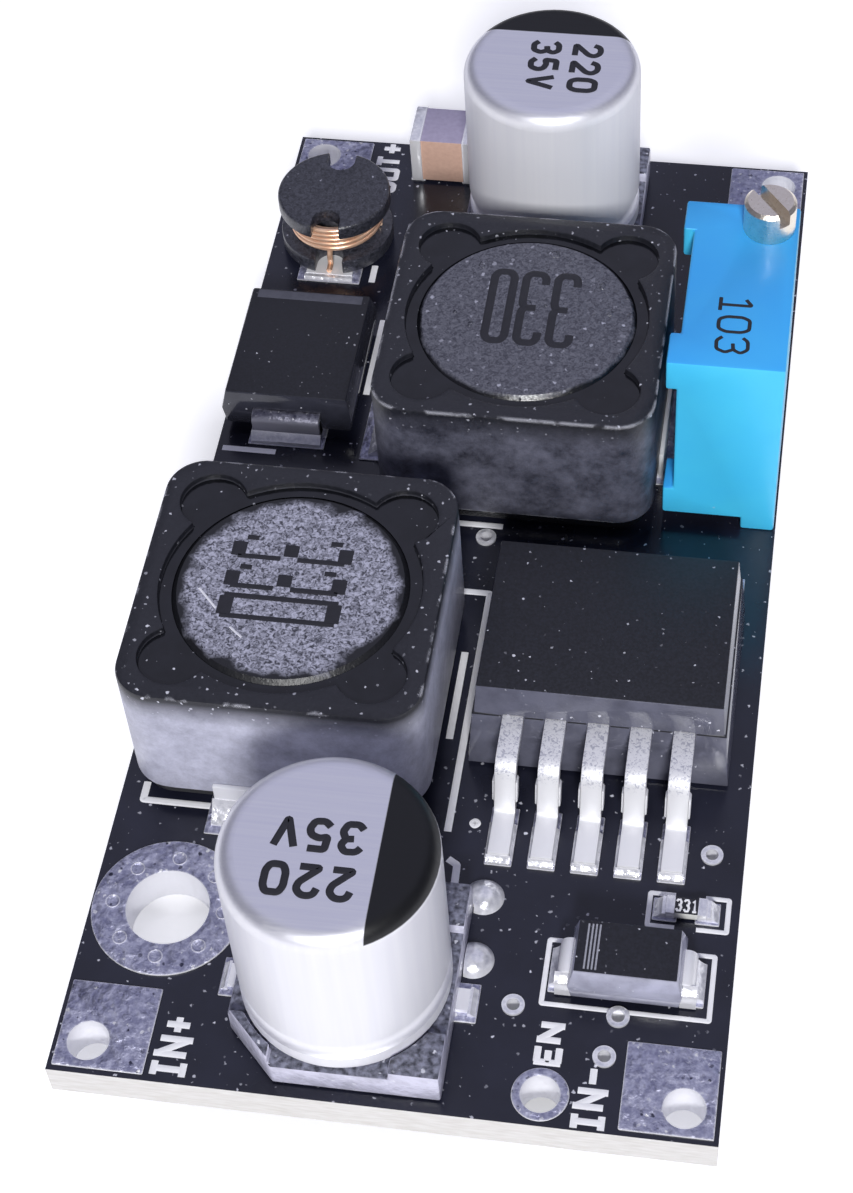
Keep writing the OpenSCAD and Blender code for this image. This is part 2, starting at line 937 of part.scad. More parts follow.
module at_rectifier() {
    translate([rect_at[0], rect_at[1], land_z])
        rotate([0, 0, 90])
            children();
}

module rectifier_body() {
    color(epoxy_black)
        at_rectifier()
            moulded_body(rect_l, rect_w, rect_h, rect_strap_w);
}

module rectifier_terminals() {
    color(tin_grey)
        at_rectifier()
            strap_pair(rect_l, rect_strap_w, (strap_t + mould_lift + rect_h) / 2);
}

module at_small_diode() {
    translate([diode_at[0], diode_at[1], land_z])
        children();
}

module small_diode_body() {
    color(epoxy_black)
        at_small_diode()
            moulded_body(diode_l, diode_w, diode_h, diode_strap_w);
}

module small_diode_terminals() {
    color(tin_grey)
        at_small_diode()
            strap_pair(diode_l, diode_strap_w, (strap_t + mould_lift + diode_h) / 2);
}

// Chip part: a block between two end caps that wrap it
module chip_block(l, w, h, end, skin) {
    difference() {
        translate([-l / 2 + skin, -w / 2 + skin, skin])
            cube([l - 2 * skin, w - 2 * skin, h - 2 * skin]);
        chip_caps(l, w, h, end, skin);
    }
}

module chip_caps(l, w, h, end, skin) {
    for (m = [0, 1])
        mirror([m, 0, 0])
            difference() {
                translate([l / 2 - end, -w / 2, 0])
                    cube([end, w, h]);
                translate([l / 2 - end - over, -w / 2 + skin, skin])
                    cube([end + over - skin, w - 2 * skin, h - 2 * skin]);
            }
}

module at_chip_resistor() {
    translate([chip_at[0], chip_at[1], land_z])
        children();
}

module chip_resistor_body() {
    color(epoxy_black)
        at_chip_resistor()
            chip_block(chip_l, chip_w, chip_h, chip_end, chip_skin);
}

module chip_resistor_ends() {
    color(tin_grey)
        at_chip_resistor()
            chip_caps(chip_l, chip_w, chip_h, chip_end, chip_skin);
}

module at_ceramic_capacitor() {
    translate([block_at[0], block_at[1], land_z])
        children();
}

module ceramic_capacitor_body() {
    color(ceramic_tan)
        at_ceramic_capacitor()
            chip_block(block_l, block_w, block_h, block_end, chip_skin);
}

module ceramic_capacitor_ends() {
    color(tin_grey)
        at_ceramic_capacitor()
            chip_caps(block_l, block_w, block_h, block_end, chip_skin);
}

// Places of the three trimmer pins
module at_trimmer_pins() {
    for (i = [-1 : 1])
        translate([trim_at[0], trim_at[1] + i * pin_pitch, 0])
            children();
}

// Room inside the trimmer case, from one height to another
module trimmer_cavity(low, high, ease) {
    translate([cavity_left + ease, trim_at[1] - cavity_half + ease, low])
        cube([cavity_right - cavity_left - 2 * ease, 2 * (cavity_half - ease), high - low]);
}

// Case with a sunk left face between four corner pads, three feet and a screw hole in the top
module trimmer_case() {
    low = top_z + trim_foot_h;
    high = top_z + trim_h;
    left = trim_at[0] - trim_w / 2;
    front = trim_at[1] - trim_l / 2;
    color(case_blue)
        difference() {
            union() {
                translate([left + trim_recess, front, low])
                    cube([trim_w - trim_recess, trim_l, high - low]);
                for (y = [front, front + trim_l - trim_pad_l], z = [low, high - trim_pad_h])
                    translate([left, y, z])
                        cube([trim_recess, trim_pad_l, trim_pad_h]);
                for (y = [front, front + trim_l - trim_foot])
                    translate([left + trim_w - trim_foot, y, top_z])
                        cube([trim_foot, trim_foot, trim_foot_h]);
                translate([left, front + trim_l - trim_foot, top_z])
                    cube([trim_foot, trim_foot, trim_foot_h]);
            }
            trimmer_cavity(low, case_inside_z, 0);
            translate([screw_at[0], screw_at[1], case_inside_z - over]) {
                cylinder(r = neck_r + run_fit, h = trim_top_wall + 2 * over);
                cylinder(r = neck_r + 2 * seal_r + 3 * fit, h = over + 2 * seal_r + 2 * fit);
            }
        }
}

module trimmer_base() {
    color(resin_blue)
        difference() {
            trimmer_cavity(top_z + trim_foot_h, base_inside_z, fit);
            trimmer_pins();
        }
}

module trimmer_pins() {
    color(tin_grey)
        at_trimmer_pins()
            cylinder(d = pin_d, h = top_z + trim_foot_h + pin_deep);
}

module trimmer_pin_lands() {
    color(tin_grey)
        at_trimmer_pins()
            plated_hole(pin_hole_d, pin_ring_d, via_plate);
}

// Solder fillets round the pins under the board
module trimmer_solder() {
    foot_z = under_z - land_t;
    color(solder_grey)
        at_trimmer_pins()
            difference() {
                translate([0, 0, foot_z - solder_h])
                    cylinder(r1 = solder_tip_r, r2 = pin_ring_d / 2 - solder_edge, h = solder_h);
                translate([0, 0, -over])
                    cylinder(d = pin_d + 2 * fit, h = foot_z + 2 * over);
            }
}

// Rubber ring that seals the screw under the top of the case
module trimmer_seal() {
    color(seal_black)
        translate([screw_at[0], screw_at[1], case_inside_z + seal_r + fit])
            rotate_extrude()
                translate([neck_r + seal_r + fit, 0])
                    circle(r = seal_r);
}

// Ceramic plate that carries the resistive track
module trimmer_element() {
    color(ceramic_white)
        translate([cavity_left + fit, trim_at[1] - cavity_half + element_side, base_inside_z + fit])
            cube([element_t, 2 * (cavity_half - element_side), case_inside_z - base_inside_z - 2 * fit]);
}

// Brass screw: slotted head, neck, collar under the seal and a shank that drives the wiper
module trimmer_screw() {
    top = top_z + trim_h;
    r = head_d / 2;
    color(brass_gold)
        translate([screw_at[0], screw_at[1], 0])
            difference() {
                rotate_extrude()
                    polygon([
                        [0, screw_tip_z], [neck_r, screw_tip_z], [neck_r, case_inside_z - collar_t - fit],
                        [collar_r, case_inside_z - collar_t - fit], [collar_r, case_inside_z - fit],
                        [neck_r, case_inside_z - fit], [neck_r, top + fit], [r, top + fit],
                        [r, top + head_h - head_edge], [r - head_edge, top + head_h], [0, top + head_h]
                    ]);
                rotate([0, 0, slot_turn])
                    translate([-r - over, -slot_w / 2, top + head_h - slot_deep])
                        cube([2 * r + 2 * over, slot_w, slot_deep + over]);
            }
}

// Block that rides on the screw and wipes along the track
module trimmer_wiper() {
    left = cavity_left + fit + element_t + element_gap;
    wide = cavity_right - element_gap - left;
    color(plastic_black)
        difference() {
            translate([left, trim_at[1] + cavity_half - element_gap - wiper_w, wiper_z - wiper_h / 2])
                cube([wide, wiper_w, wiper_h]);
            translate([screw_at[0], screw_at[1], wiper_z - wiper_h])
                cylinder(r = neck_r + run_fit, h = 2 * wiper_h);
        }
}

circuit_board();
mounting_ring();
wire_pad(-1, -1);  // input_plus_pad
wire_pad(1, -1);  // input_minus_pad
wire_pad(-1, 1);  // output_plus_pad
wire_pad(1, 1);  // output_minus_pad
enable_pad();
plated_vias();
component_lands();
solder_mounds();
at_input_capacitor() capacitor_can();  // input_capacitor_can
at_input_capacitor() capacitor_base();  // input_capacitor_base
at_input_capacitor() capacitor_leads();  // input_capacitor_leads
at_output_capacitor() capacitor_can();  // output_capacitor_can
at_output_capacitor() capacitor_base();  // output_capacitor_base
at_output_capacitor() capacitor_leads();  // output_capacitor_leads
at_front_coil() coil_shield();  // front_coil_shield
at_front_coil() coil_core();  // front_coil_core
at_front_coil() coil_winding();  // front_coil_winding
at_front_coil() coil_glue();  // front_coil_glue
at_front_coil() coil_terminals();  // front_coil_terminals
at_rear_coil() coil_shield();  // rear_coil_shield
at_rear_coil() coil_core();  // rear_coil_core
at_rear_coil() coil_winding();  // rear_coil_winding
at_rear_coil() coil_glue();  // rear_coil_glue
at_rear_coil() coil_terminals();  // rear_coil_terminals
filter_coil_core();
filter_coil_winding();
filter_coil_terminals();
regulator_body();
regulator_tab();
regulator_leads();
rectifier_body();
rectifier_terminals();
small_diode_body();
small_diode_terminals();
chip_resistor_body();
chip_resistor_ends();
ceramic_capacitor_body();
ceramic_capacitor_ends();
trimmer_case();
trimmer_base();
trimmer_element();
trimmer_pins();
trimmer_pin_lands();
trimmer_solder();
trimmer_seal();
trimmer_screw();
trimmer_wiper();
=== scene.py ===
# %% [markdown]
# Buck-boost converter module.
# A small power board: a black laminate carries two shielded coils, two can capacitors, a tabbed
# regulator and a blue trimmer. The solids come from the CAD frame and keep their places. This script
# breaks their sharp edges, gives them their finishes, and adds what is too fine for the solids, such
# as solder, wire turns and printed marks.

# %% Load the frame
import json
import math

import bpy
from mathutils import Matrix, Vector

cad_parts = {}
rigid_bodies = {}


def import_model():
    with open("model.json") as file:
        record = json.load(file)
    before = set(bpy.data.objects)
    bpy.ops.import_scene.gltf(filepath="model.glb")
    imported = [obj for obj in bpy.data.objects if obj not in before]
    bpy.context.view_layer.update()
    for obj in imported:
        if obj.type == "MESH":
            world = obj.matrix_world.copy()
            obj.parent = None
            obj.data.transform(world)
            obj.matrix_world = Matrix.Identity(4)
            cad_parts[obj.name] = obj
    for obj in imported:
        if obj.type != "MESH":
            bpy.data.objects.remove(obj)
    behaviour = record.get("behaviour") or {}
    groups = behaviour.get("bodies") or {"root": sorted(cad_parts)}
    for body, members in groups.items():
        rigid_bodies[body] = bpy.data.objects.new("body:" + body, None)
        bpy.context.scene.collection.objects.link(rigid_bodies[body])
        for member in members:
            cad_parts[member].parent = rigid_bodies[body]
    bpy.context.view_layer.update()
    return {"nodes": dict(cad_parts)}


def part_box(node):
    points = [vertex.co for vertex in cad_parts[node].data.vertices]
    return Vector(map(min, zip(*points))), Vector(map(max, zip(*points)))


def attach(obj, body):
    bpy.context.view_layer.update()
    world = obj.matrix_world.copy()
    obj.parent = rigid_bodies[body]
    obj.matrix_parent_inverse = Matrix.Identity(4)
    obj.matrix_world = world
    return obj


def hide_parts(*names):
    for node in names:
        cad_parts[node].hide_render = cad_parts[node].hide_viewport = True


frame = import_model()
nodes = frame["nodes"]
collection = bpy.context.scene.collection
MM = 0.001
print("frame nodes:", len(nodes))

# %% [markdown]
# The camera looks down on the input end. Its place was worked out from the edges of standard parts in
# the picture, so the board, the coils and the cans fall where the picture has them. A small shift keeps
# the lens axis where the crop of the picture puts it.

# %% Camera
IMAGE_W = 853
IMAGE_H = 1193
SENSOR_MM = 36
FOCAL_PX = 2528
LENS_AXIS_PX = (480.4, 540.1)
CAMERA_MM = (13.01, -66.59, 87.56)
CAMERA_TURN_DEG = (39.026, 2.172, 8.219)
NEAREST_MM = 5

camera_data = bpy.data.cameras.new("photo_camera")
camera_data.sensor_width = SENSOR_MM
camera_data.lens = FOCAL_PX / IMAGE_H * SENSOR_MM
camera_data.shift_x = (IMAGE_W / 2 - LENS_AXIS_PX[0]) / IMAGE_H
camera_data.shift_y = (LENS_AXIS_PX[1] - IMAGE_H / 2) / IMAGE_H
camera_data.clip_start = NEAREST_MM * MM
camera = bpy.data.objects.new("photo_camera", camera_data)
camera.location = Vector(CAMERA_MM) * MM
camera.rotation_euler = [math.radians(a) for a in CAMERA_TURN_DEG]
collection.objects.link(camera)
bpy.context.scene.camera = camera
bpy.context.scene.view_settings.view_transform = "Standard"
print("lens", round(camera_data.lens, 1), "mm")

# %% [markdown]
# Colours are written as sRGB hex values, as a paint chart or a picture editor gives them. Blender
# calculates in linear light, so one function converts them. The others build every material: one fills
# or links the inputs of a node, one adds a node, and one starts a material from the Principled shader.
# Where a node is given as an input, its first output in use is linked.

# %% Helpers for materials
def linear(hex_colour):
    channels = [int(hex_colour[i:i + 2], 16) / 255 for i in (1, 3, 5)]
    return [c / 12.92 if c <= 0.04045 else ((c + 0.055) / 1.055) ** 2.4 for c in channels] + [1]


def feed(tree, node, inputs):
    for key, value in inputs.items():
        if isinstance(value, bpy.types.Node):
            value = next(output for output in value.outputs if output.enabled)
        if isinstance(value, bpy.types.NodeSocket):
            tree.links.new(value, node.inputs[key])
        else:
            node.inputs[key].default_value = value


def add(tree, kind, inputs=None, **settings):
    node = tree.nodes.new("ShaderNode" + kind)
    for key, value in settings.items():
        setattr(node, key, value)
    feed(tree, node, inputs or {})
    return node


def new_finish(name, inputs):
    material = bpy.data.materials.new(name)
    material.use_nodes = True
    tree = material.node_tree
    shader = tree.nodes["Principled BSDF"]
    feed(tree, shader, inputs)
    place = add(tree, "TexCoord").outputs["Object"]
    print("finish", name)
    return material, tree, shader, place


# A Mix node keeps its factor and two colours under the first numbers, two plain values under the others
FACTOR, FIRST, SECOND = 0, 6, 7
AT_ZERO, AT_ONE = 2, 3

print("white is", [round(c, 2) for c in linear("#ffffff")])

# %% [markdown]
# Patterns such as grain or dust have a real size. A noise or cell texture repeats about once per unit
# at scale 1, and the frame is in metres, so a pattern of so many millimetres has this scale.

# %% Pattern scale
def per_mm(size_mm):
    return 1 / (size_mm * MM)


print("a 0.1 mm grain has scale", round(per_mm(0.1)))

# %% [markdown]
# Hardly any surface has one colour. Most change between two tones as a noise does, and a narrow spread
# sets the two tones further apart. Often the same noise makes the skin rougher here and smoother there,
# and lets it rise and fall.

# %% Tone and skin
def mottled(tree, place, size_mm, dark, pale, spread=None, **noise):
    pattern = share = add(tree, "TexNoise", {"Vector": place, "Scale": per_mm(size_mm), **noise})
    if spread:
        share = add(tree, "MapRange", {
            "Value": pattern, "From Min": spread[0], "From Max": spread[1]
        })
    tone = add(tree, "Mix", {
        FACTOR: share, FIRST: linear(dark), SECOND: linear(pale)
    }, data_type="RGBA")
    return pattern, tone


def skin(tree, shader, tone, pattern, rough, strength, depth_mm):
    gloss = add(tree, "MapRange", {"Value": pattern, "To Min": rough[0], "To Max": rough[1]})
    bump = add(tree, "Bump", {"Height": pattern, "Strength": strength, "Distance": depth_mm * MM})
    feed(tree, shader, {"Base Color": tone, "Roughness": gloss, "Normal": bump})
    return bump


print("tone and skin ready")

# %% [markdown]
# The board lies on a pale studio table. The table's own colour is nearly white, and a camera-ray glow
# lifts it to plain white round the board, while it still takes the shadow. The glow also shows in
# mirror-like metal, so that leads and cans reflect the same pale table.

# %% Floor
FLOOR_SIDE = 3.0
FLOOR_GLOW = 0.5
PAPER_MM = 40

bpy.ops.object.select_all(action="DESELECT")
bpy.ops.mesh.primitive_plane_add(size=FLOOR_SIDE, location=(0, 0, 0))
floor = bpy.context.object
floor.name = "studio_table"
material, tree, shader, place = new_finish(
    "studio_table_matt_board", {"Roughness": 0.9, "Specular IOR Level": 0.1}
)
paper = mottled(tree, place, PAPER_MM, "#e4e4e8", "#ececf0", Detail=2.0)[1]
path = add(tree, "LightPath")
seen = add(tree, "Math", {
    0: path.outputs["Is Camera Ray"], 1: path.outputs["Is Glossy Ray"]
}, operation="MAXIMUM")
seen = add(tree, "Math", {0: seen, 1: path.outputs["Is Transmission Ray"]}, operation="MAXIMUM")
glow = add(tree, "Math", {0: seen, 1: FLOOR_GLOW}, operation="MULTIPLY")
feed(tree, shader, {
    "Base Color": paper, "Emission Color": linear("#ffffff"), "Emission Strength": glow
})
floor.data.materials.append(material)
print("table", FLOOR_SIDE, "m square")

# %% [markdown]
# Light is plain and soft. The room is dim. A wide panel above and behind the board gives the flat faces
# something pale to mirror, and a softbox beside the camera lights what stands towards it. The softbox is
# small enough for the front can to throw a clear shadow on the coil behind it.

# %% Room, panel and softbox
ROOM_COLOUR = "#c0c1da"
ROOM_STRENGTH = 0.26


def lamp(name, side, watts, colour, distance, azimuth_deg, elevation_deg):
    azimuth, elevation = math.radians(azimuth_deg), math.radians(elevation_deg)
    data = bpy.data.lights.new(name, "AREA")
    data.size = side
    data.energy = watts
    data.color = linear(colour)[:3]
    light = bpy.data.objects.new(name, data)
    light.location = distance * Vector((
        math.sin(azimuth) * math.cos(elevation),
        -math.cos(azimuth) * math.cos(elevation),
        math.sin(elevation),
    ))
    light.rotation_euler = (math.radians(90) - elevation, 0, azimuth)
    collection.objects.link(light)
    print(name, "at", [round(c, 2) for c in light.location])


room = bpy.data.worlds.new("studio_room")
room.use_nodes = True
feed(room.node_tree, room.node_tree.nodes["Background"], {
    "Color": linear(ROOM_COLOUR), "Strength": ROOM_STRENGTH
})
bpy.context.scene.world = room
lamp("back_panel", side=1.2, watts=2.7, colour=ROOM_COLOUR, distance=0.8, azimuth_deg=180, elevation_deg=60)
lamp("softbox", side=0.16, watts=8.3, colour="#ffffff", distance=1.0, azimuth_deg=10, elevation_deg=38)

# %% [markdown]
# Every dark surface of the board carries a little dust. Cells of random size, cut by the surface, give
# sparse specks, and the random colour of a cell also sets how large and how strong its speck is. A fine
# noise pushes the pattern about, so that the specks are ragged. Real dust is finer still: it is drawn
# large enough to show.

# %% Dust pattern
# Grain and reach of the push, and the soft rim of a speck, all in speck sizes
PUSH_GRAIN, PUSH_REACH, SOFT_RIM = 1.4, 1.8, 0.3


def speckled(tree, place, spacing_mm, speck_mm):
    push = add(tree, "TexNoise", {
        "Vector": place, "Scale": per_mm(PUSH_GRAIN * speck_mm), "Detail": 1.0
    })
    pushed = add(tree, "VectorMath", {
        0: push.outputs["Color"], 1: 3 * [PUSH_REACH * speck_mm * MM], 2: place
    }, operation="MULTIPLY_ADD")
    cells = add(tree, "TexVoronoi", {"Vector": pushed, "Scale": per_mm(spacing_mm)})
    size, strength = add(tree, "SeparateColor", {0: cells.outputs["Color"]}).outputs[:2]
    reach = add(tree, "Math", {0: size, 1: speck_mm / spacing_mm}, operation="MULTIPLY")
    inside = add(tree, "Math", {0: reach, 1: cells}, operation="SUBTRACT")
    inside = add(tree, "MapRange", {"Value": inside, "From Max": SOFT_RIM * speck_mm / spacing_mm})
    return add(tree, "Math", {0: inside, 1: strength}, operation="MULTIPLY")


def dusted(tree, place, tone, spacing_mm, speck_mm, tint="#dcdde8"):
    return add(tree, "Mix", {
        FACTOR: speckled(tree, place, spacing_mm, speck_mm), FIRST: tone, SECOND: linear(tint)
    }, data_type="RGBA")


print("dust pattern ready")

# %% [markdown]
# Faces that lie flat and faces that stand often differ on one part: a printed top and a drawn wall, a
# coated top and a bare side. The direction of the surface tells them apart, 1 where it lies and 0 where
# it stands. Some finishes also change with height, from 0 below to 1 above.

# %% Lying faces and height
def lying(tree):
    facing = add(tree, "SeparateXYZ", {0: add(tree, "TexCoord").outputs["Normal"]})
    flat = add(tree, "Math", {0: facing.outputs["Z"]}, operation="ABSOLUTE")
    return add(tree, "MapRange", {"Value": flat, "From Min": 0.4, "From Max": 0.8})


def above(tree, place, from_mm, full_mm):
    high = add(tree, "SeparateXYZ", {0: place}).outputs["Z"]
    return add(tree, "MapRange", {"Value": high, "From Min": from_mm * MM, "From Max": full_mm * MM})


print("tests for direction and height ready")

# %% [markdown]
# Edges catch the light or lose their coat. The Bevel node bends the normal near an edge, so where it
# leaves the true normal there is an edge: 1 on it and 0 away from it.

# %% Nearness to an edge
def near_edge(tree, reach_mm):
    bent = add(tree, "Bevel", {"Radius": reach_mm * MM}, samples=4)
    along = add(tree, "VectorMath", {
        0: bent, 1: add(tree, "NewGeometry").outputs["Normal"]
    }, operation="DOT_PRODUCT")
    return add(tree, "MapRange", {"Value": along, "From Min": 0.97, "From Max": 0.85})


print("edge test ready")

# %% [markdown]
# The board is glass-fibre laminate with a cured black solder mask on both faces. The mask is a smooth,
# glossy varnish; the routed edges show the bare pale laminate in thin layers. Faces lie and edges stand,
# so one material serves both.

# %% Solder mask on laminate
LAMINATE_ROUGH = 0.75

solder_mask, tree, shader, place = new_finish("solder_mask_cured_gloss", {"IOR": 1.5})
flat = lying(tree)
flow, varnish = mottled(tree, place, 2.5, "#12131c", "#262838", Detail=3.0)
varnish = dusted(tree, place, varnish, spacing_mm=0.36, speck_mm=0.085)
layers = add(tree, "Mapping", {"Vector": place, "Scale": (1, 1, 6)})
laminate = mottled(tree, layers, 0.8, "#cdc9c1", "#f4f3f1", Detail=4.0)[1]
both = add(tree, "Mix", {FACTOR: flat, FIRST: laminate, SECOND: varnish}, data_type="RGBA")
gloss = add(tree, "MapRange", {"Value": flow, "To Min": 0.12, "To Max": 0.3})
gloss = add(tree, "Mix", {FACTOR: flat, AT_ZERO: LAMINATE_ROUGH, AT_ONE: gloss}, data_type="FLOAT")
waves = add(tree, "TexNoise", {"Vector": place, "Scale": per_mm(0.7), "Detail": 2.0})
bump = add(tree, "Bump", {"Height": waves, "Strength": 0.25, "Distance": 0.02 * MM})
feed(tree, shader, {"Base Color": both, "Roughness": gloss, "Normal": bump})

# %% [markdown]
# Pads and lands are copper, levelled with hot solder. That leaves a soft grey metal with a lumpy skin,
# and never a clear mirror image. Dark specks are painted shade in its small dents and white specks are
# painted glints. Patches of oxide are less metallic than the clean skin and scatter the light. Every edge
# carries a pale painted highlight, and standing faces such as the barrels of the holes are painted pale
# as if lit. The large diode's terminals take a darker copy of the tin, painted shade, and fresh solder is
# smoother and nearly white. Real tin grains are finer: they are drawn coarse enough to show.

# %% Levelled tin on copper
RIM_MM = 0.1
RIM_METAL = 0.35


def levelled_tin(
    name, dark, pale, edge_highlight, dent_mm, dent_shade_tone="#34354a", metal=(0.5, 1.0), rough=(0.35, 0.6)
):
    material, tree, shader, place = new_finish(name, {})
    cloud = add(tree, "TexNoise", {"Vector": place, "Scale": per_mm(0.5), "Detail": 5.0})
    clean = add(tree, "MapRange", {
        "Value": cloud, "From Min": 0.3, "From Max": 0.7, "To Min": metal[0], "To Max": metal[1]
    })
    grain, tone = mottled(tree, place, 0.2, dark, pale, spread=(0.36, 0.64), Detail=4.0)
    # Dark pits are painted shade in dents, white specks are painted glints.
    dent_shade = dusted(tree, place, tone, spacing_mm=0.33, speck_mm=0.12, tint=dent_shade_tone)
    specks = dusted(tree, place, dent_shade, spacing_mm=0.27, speck_mm=0.1, tint="#ffffff")
    flat = lying(tree)
    # Edges and standing faces such as hole barrels are painted pale: a painted highlight.
    barrel = add(tree, "Math", {0: 1.0, 1: flat}, operation="SUBTRACT")
    lit_edges_and_walls = add(tree, "Math", {0: near_edge(tree, RIM_MM), 1: barrel}, operation="MAXIMUM")
    tin = add(tree, "Mix", {FACTOR: lit_edges_and_walls, FIRST: specks, SECOND: linear(edge_highlight)}, data_type="RGBA")
    clean = add(tree, "Mix", {FACTOR: lit_edges_and_walls, AT_ZERO: clean, AT_ONE: RIM_METAL}, data_type="FLOAT")
    gloss = add(tree, "MapRange", {"Value": grain, "To Min": rough[0], "To Max": rough[1]})
    dents = add(tree, "TexVoronoi", {"Vector": place, "Scale": per_mm(0.35)}, feature="SMOOTH_F1")
    relief = add(tree, "Math", {0: dents, 1: grain}, operation="MULTIPLY")
    depth = add(tree, "MapRange", {"Value": flat, "To Min": 0.1, "To Max": 0.8})
    bump = add(tree, "Bump", {"Height": relief, "Strength": depth, "Distance": dent_mm * MM})
    feed(tree, shader, {"Base Color": tin, "Metallic": clean, "Roughness": gloss, "Normal": bump})
    return material


tinned_copper = levelled_tin(
    "tinned_copper_levelled", "#9a9bb6", "#c6c7dc", edge_highlight="#f4f4f8", dent_mm=0.25
)
# A darker copy of the tin for the large diode's terminals: painted shade from the front coil.
shaded_tin_copy = levelled_tin(
    "tinned_copper_shaded_copy", "#5e5e6c", "#858593", edge_highlight="#8c8c99", dent_mm=0.15
)
solder = levelled_tin(
    "solder_reflowed", "#d9dae2", "#f4f4f8", edge_highlight="#f4f4f8", dent_mm=0.08,
    dent_shade_tone="#ececf2", metal=(0.3, 0.7), rough=(0.1, 0.3),
)

# %% [markdown]
# Leads and terminals are sheet copper with a plated coat of matt tin. Its fine crystals scatter much of
# the light, so it is less metallic than a polished coat and nearly white. Forming the regulator's leads
# crumpled the plating on their high run into wrinkles, a relief whose hollows are painted dark as painted
# shade. They are drawn coarse enough to show.

# %% Plated tin strip
CRUMPLE_FROM_MM = 4.7
CRUMPLE_FULL_MM = 5.1

tinned_lead, tree, shader, place = new_finish("tinned_lead_plated", {"Metallic": 0.38})
high = above(tree, place, CRUMPLE_FROM_MM, CRUMPLE_FULL_MM)
wrinkle = add(tree, "TexNoise", {
    "Vector": place, "Scale": per_mm(0.16), "Detail": 4.0, "Distortion": 1.4
})
# The hollows of the wrinkle relief are painted dark: painted shade in the creases.
crease_shade = add(tree, "MapRange", {"Value": wrinkle, "From Min": 0.5, "From Max": 0.36})
crease_shade = add(tree, "Math", {0: crease_shade, 1: high}, operation="MULTIPLY")
tin = add(tree, "Mix", {
    FACTOR: crease_shade, FIRST: linear("#f9f9fb"), SECOND: linear("#c2c3ce")
}, data_type="RGBA")
depth = add(tree, "MapRange", {"Value": high, "To Min": 0.08, "To Max": 0.5})
skin(tree, shader, tin, wrinkle, rough=(0.6, 0.4), strength=depth, depth_mm=0.03)

# %% [markdown]
# The black segment that marks the minus side of a can is printed over the top and its rounded rim, so
# it is a matter of place: all of the top beyond a chord is ink. The chord is measured from the middle of
# the can.

# %% Minus mark of a can
CHORD_MM = 1.87
CHORD_SOFT_MM = 0.02
INK_FOOT_MM = 12.4
INK_SOFT_MM = 0.03


def middle_of(node):
    low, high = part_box(node)
    return [(a + b) / 2 / MM for a, b in zip(low, high)]


def from_middle(tree, place, node):
    return add(tree, "VectorMath", {
        0: place, 1: [c * MM for c in middle_of(node)]
    }, operation="SUBTRACT")


def minus_mark(tree, place, can, minus_side):
    across = add(tree, "VectorMath", {
        0: from_middle(tree, place, can), 1: minus_side
    }, operation="DOT_PRODUCT")
    beyond = add(tree, "MapRange", {
        "Value": across,
        "From Min": (CHORD_MM - CHORD_SOFT_MM) * MM, "From Max": (CHORD_MM + CHORD_SOFT_MM) * MM,
    })
    high = above(tree, place, INK_FOOT_MM - INK_SOFT_MM, INK_FOOT_MM + INK_SOFT_MM)
    return add(tree, "Math", {0: beyond, 1: high}, operation="MULTIPLY")


print("middle of the input can", [round(c, 1) for c in middle_of("input_capacitor_can")])

# %% [markdown]
# A capacitor can is deep-drawn aluminium. Its top was brushed in one direction, its wall has a clear
# lacquer that makes it nearly white. Noise stretched fifty to one makes the brushing on the top and the
# drawing marks on the wall. Real brush lines are finer: they are drawn wide enough to show.

# %% Drawn aluminium
STRETCH = 0.02


def drawn_aluminium(name, can, minus_side):
    material, tree, shader, place = new_finish(name, {})
    top = lying(tree)
    along = add(tree, "Mapping", {"Vector": place, "Scale": (STRETCH, 1, 1)})
    brushed, top_tone = mottled(tree, along, 0.1, "#e6e6f2", "#f8f8fc", Detail=4.0)
    down = add(tree, "Mapping", {"Vector": place, "Scale": (1, 1, STRETCH)})
    wall_tone = mottled(tree, down, 0.3, "#e9e9f0", "#f5f5f8", Detail=3.0)[1]
    tone = add(tree, "Mix", {FACTOR: top, FIRST: wall_tone, SECOND: top_tone}, data_type="RGBA")
    mark = minus_mark(tree, place, can, minus_side)
    printed = add(tree, "Mix", {FACTOR: mark, FIRST: tone, SECOND: linear("#07080b")}, data_type="RGBA")
    metal = add(tree, "MapRange", {"Value": top, "To Min": 0.15, "To Max": 0.85})
    metal = add(tree, "Mix", {FACTOR: mark, AT_ZERO: metal, AT_ONE: 0.0}, data_type="FLOAT")
    feed(tree, shader, {"Metallic": metal})
    skin(tree, shader, printed, brushed, rough=(0.34, 0.5), strength=0.1, depth_mm=0.005)
    return material


input_can = drawn_aluminium("can_aluminium_input", "input_capacitor_can", minus_side=(1, 0, 0))
output_can = drawn_aluminium("can_aluminium_output", "output_capacitor_can", minus_side=(0, 1, 0))

# %% [markdown]
# Moulded parts are black, but never plain black. Epoxy moulding compound is full of fine silica, which
# gives a satin top with a fine sparkle; the capacitor bases are a coarser, duller plastic, and the glue
# round a coil's core set hard and glossy. The drafted sides slid along the polished wall of the mould, so
# they are glossier. Their paler clouds are partly wiped flux and dust and partly painted light: the walls
# of the capacitor bases are painted pale as if lit, the small diode's as a pale painted reflection. Real
# silica grains are finer: they are drawn coarse enough to show.

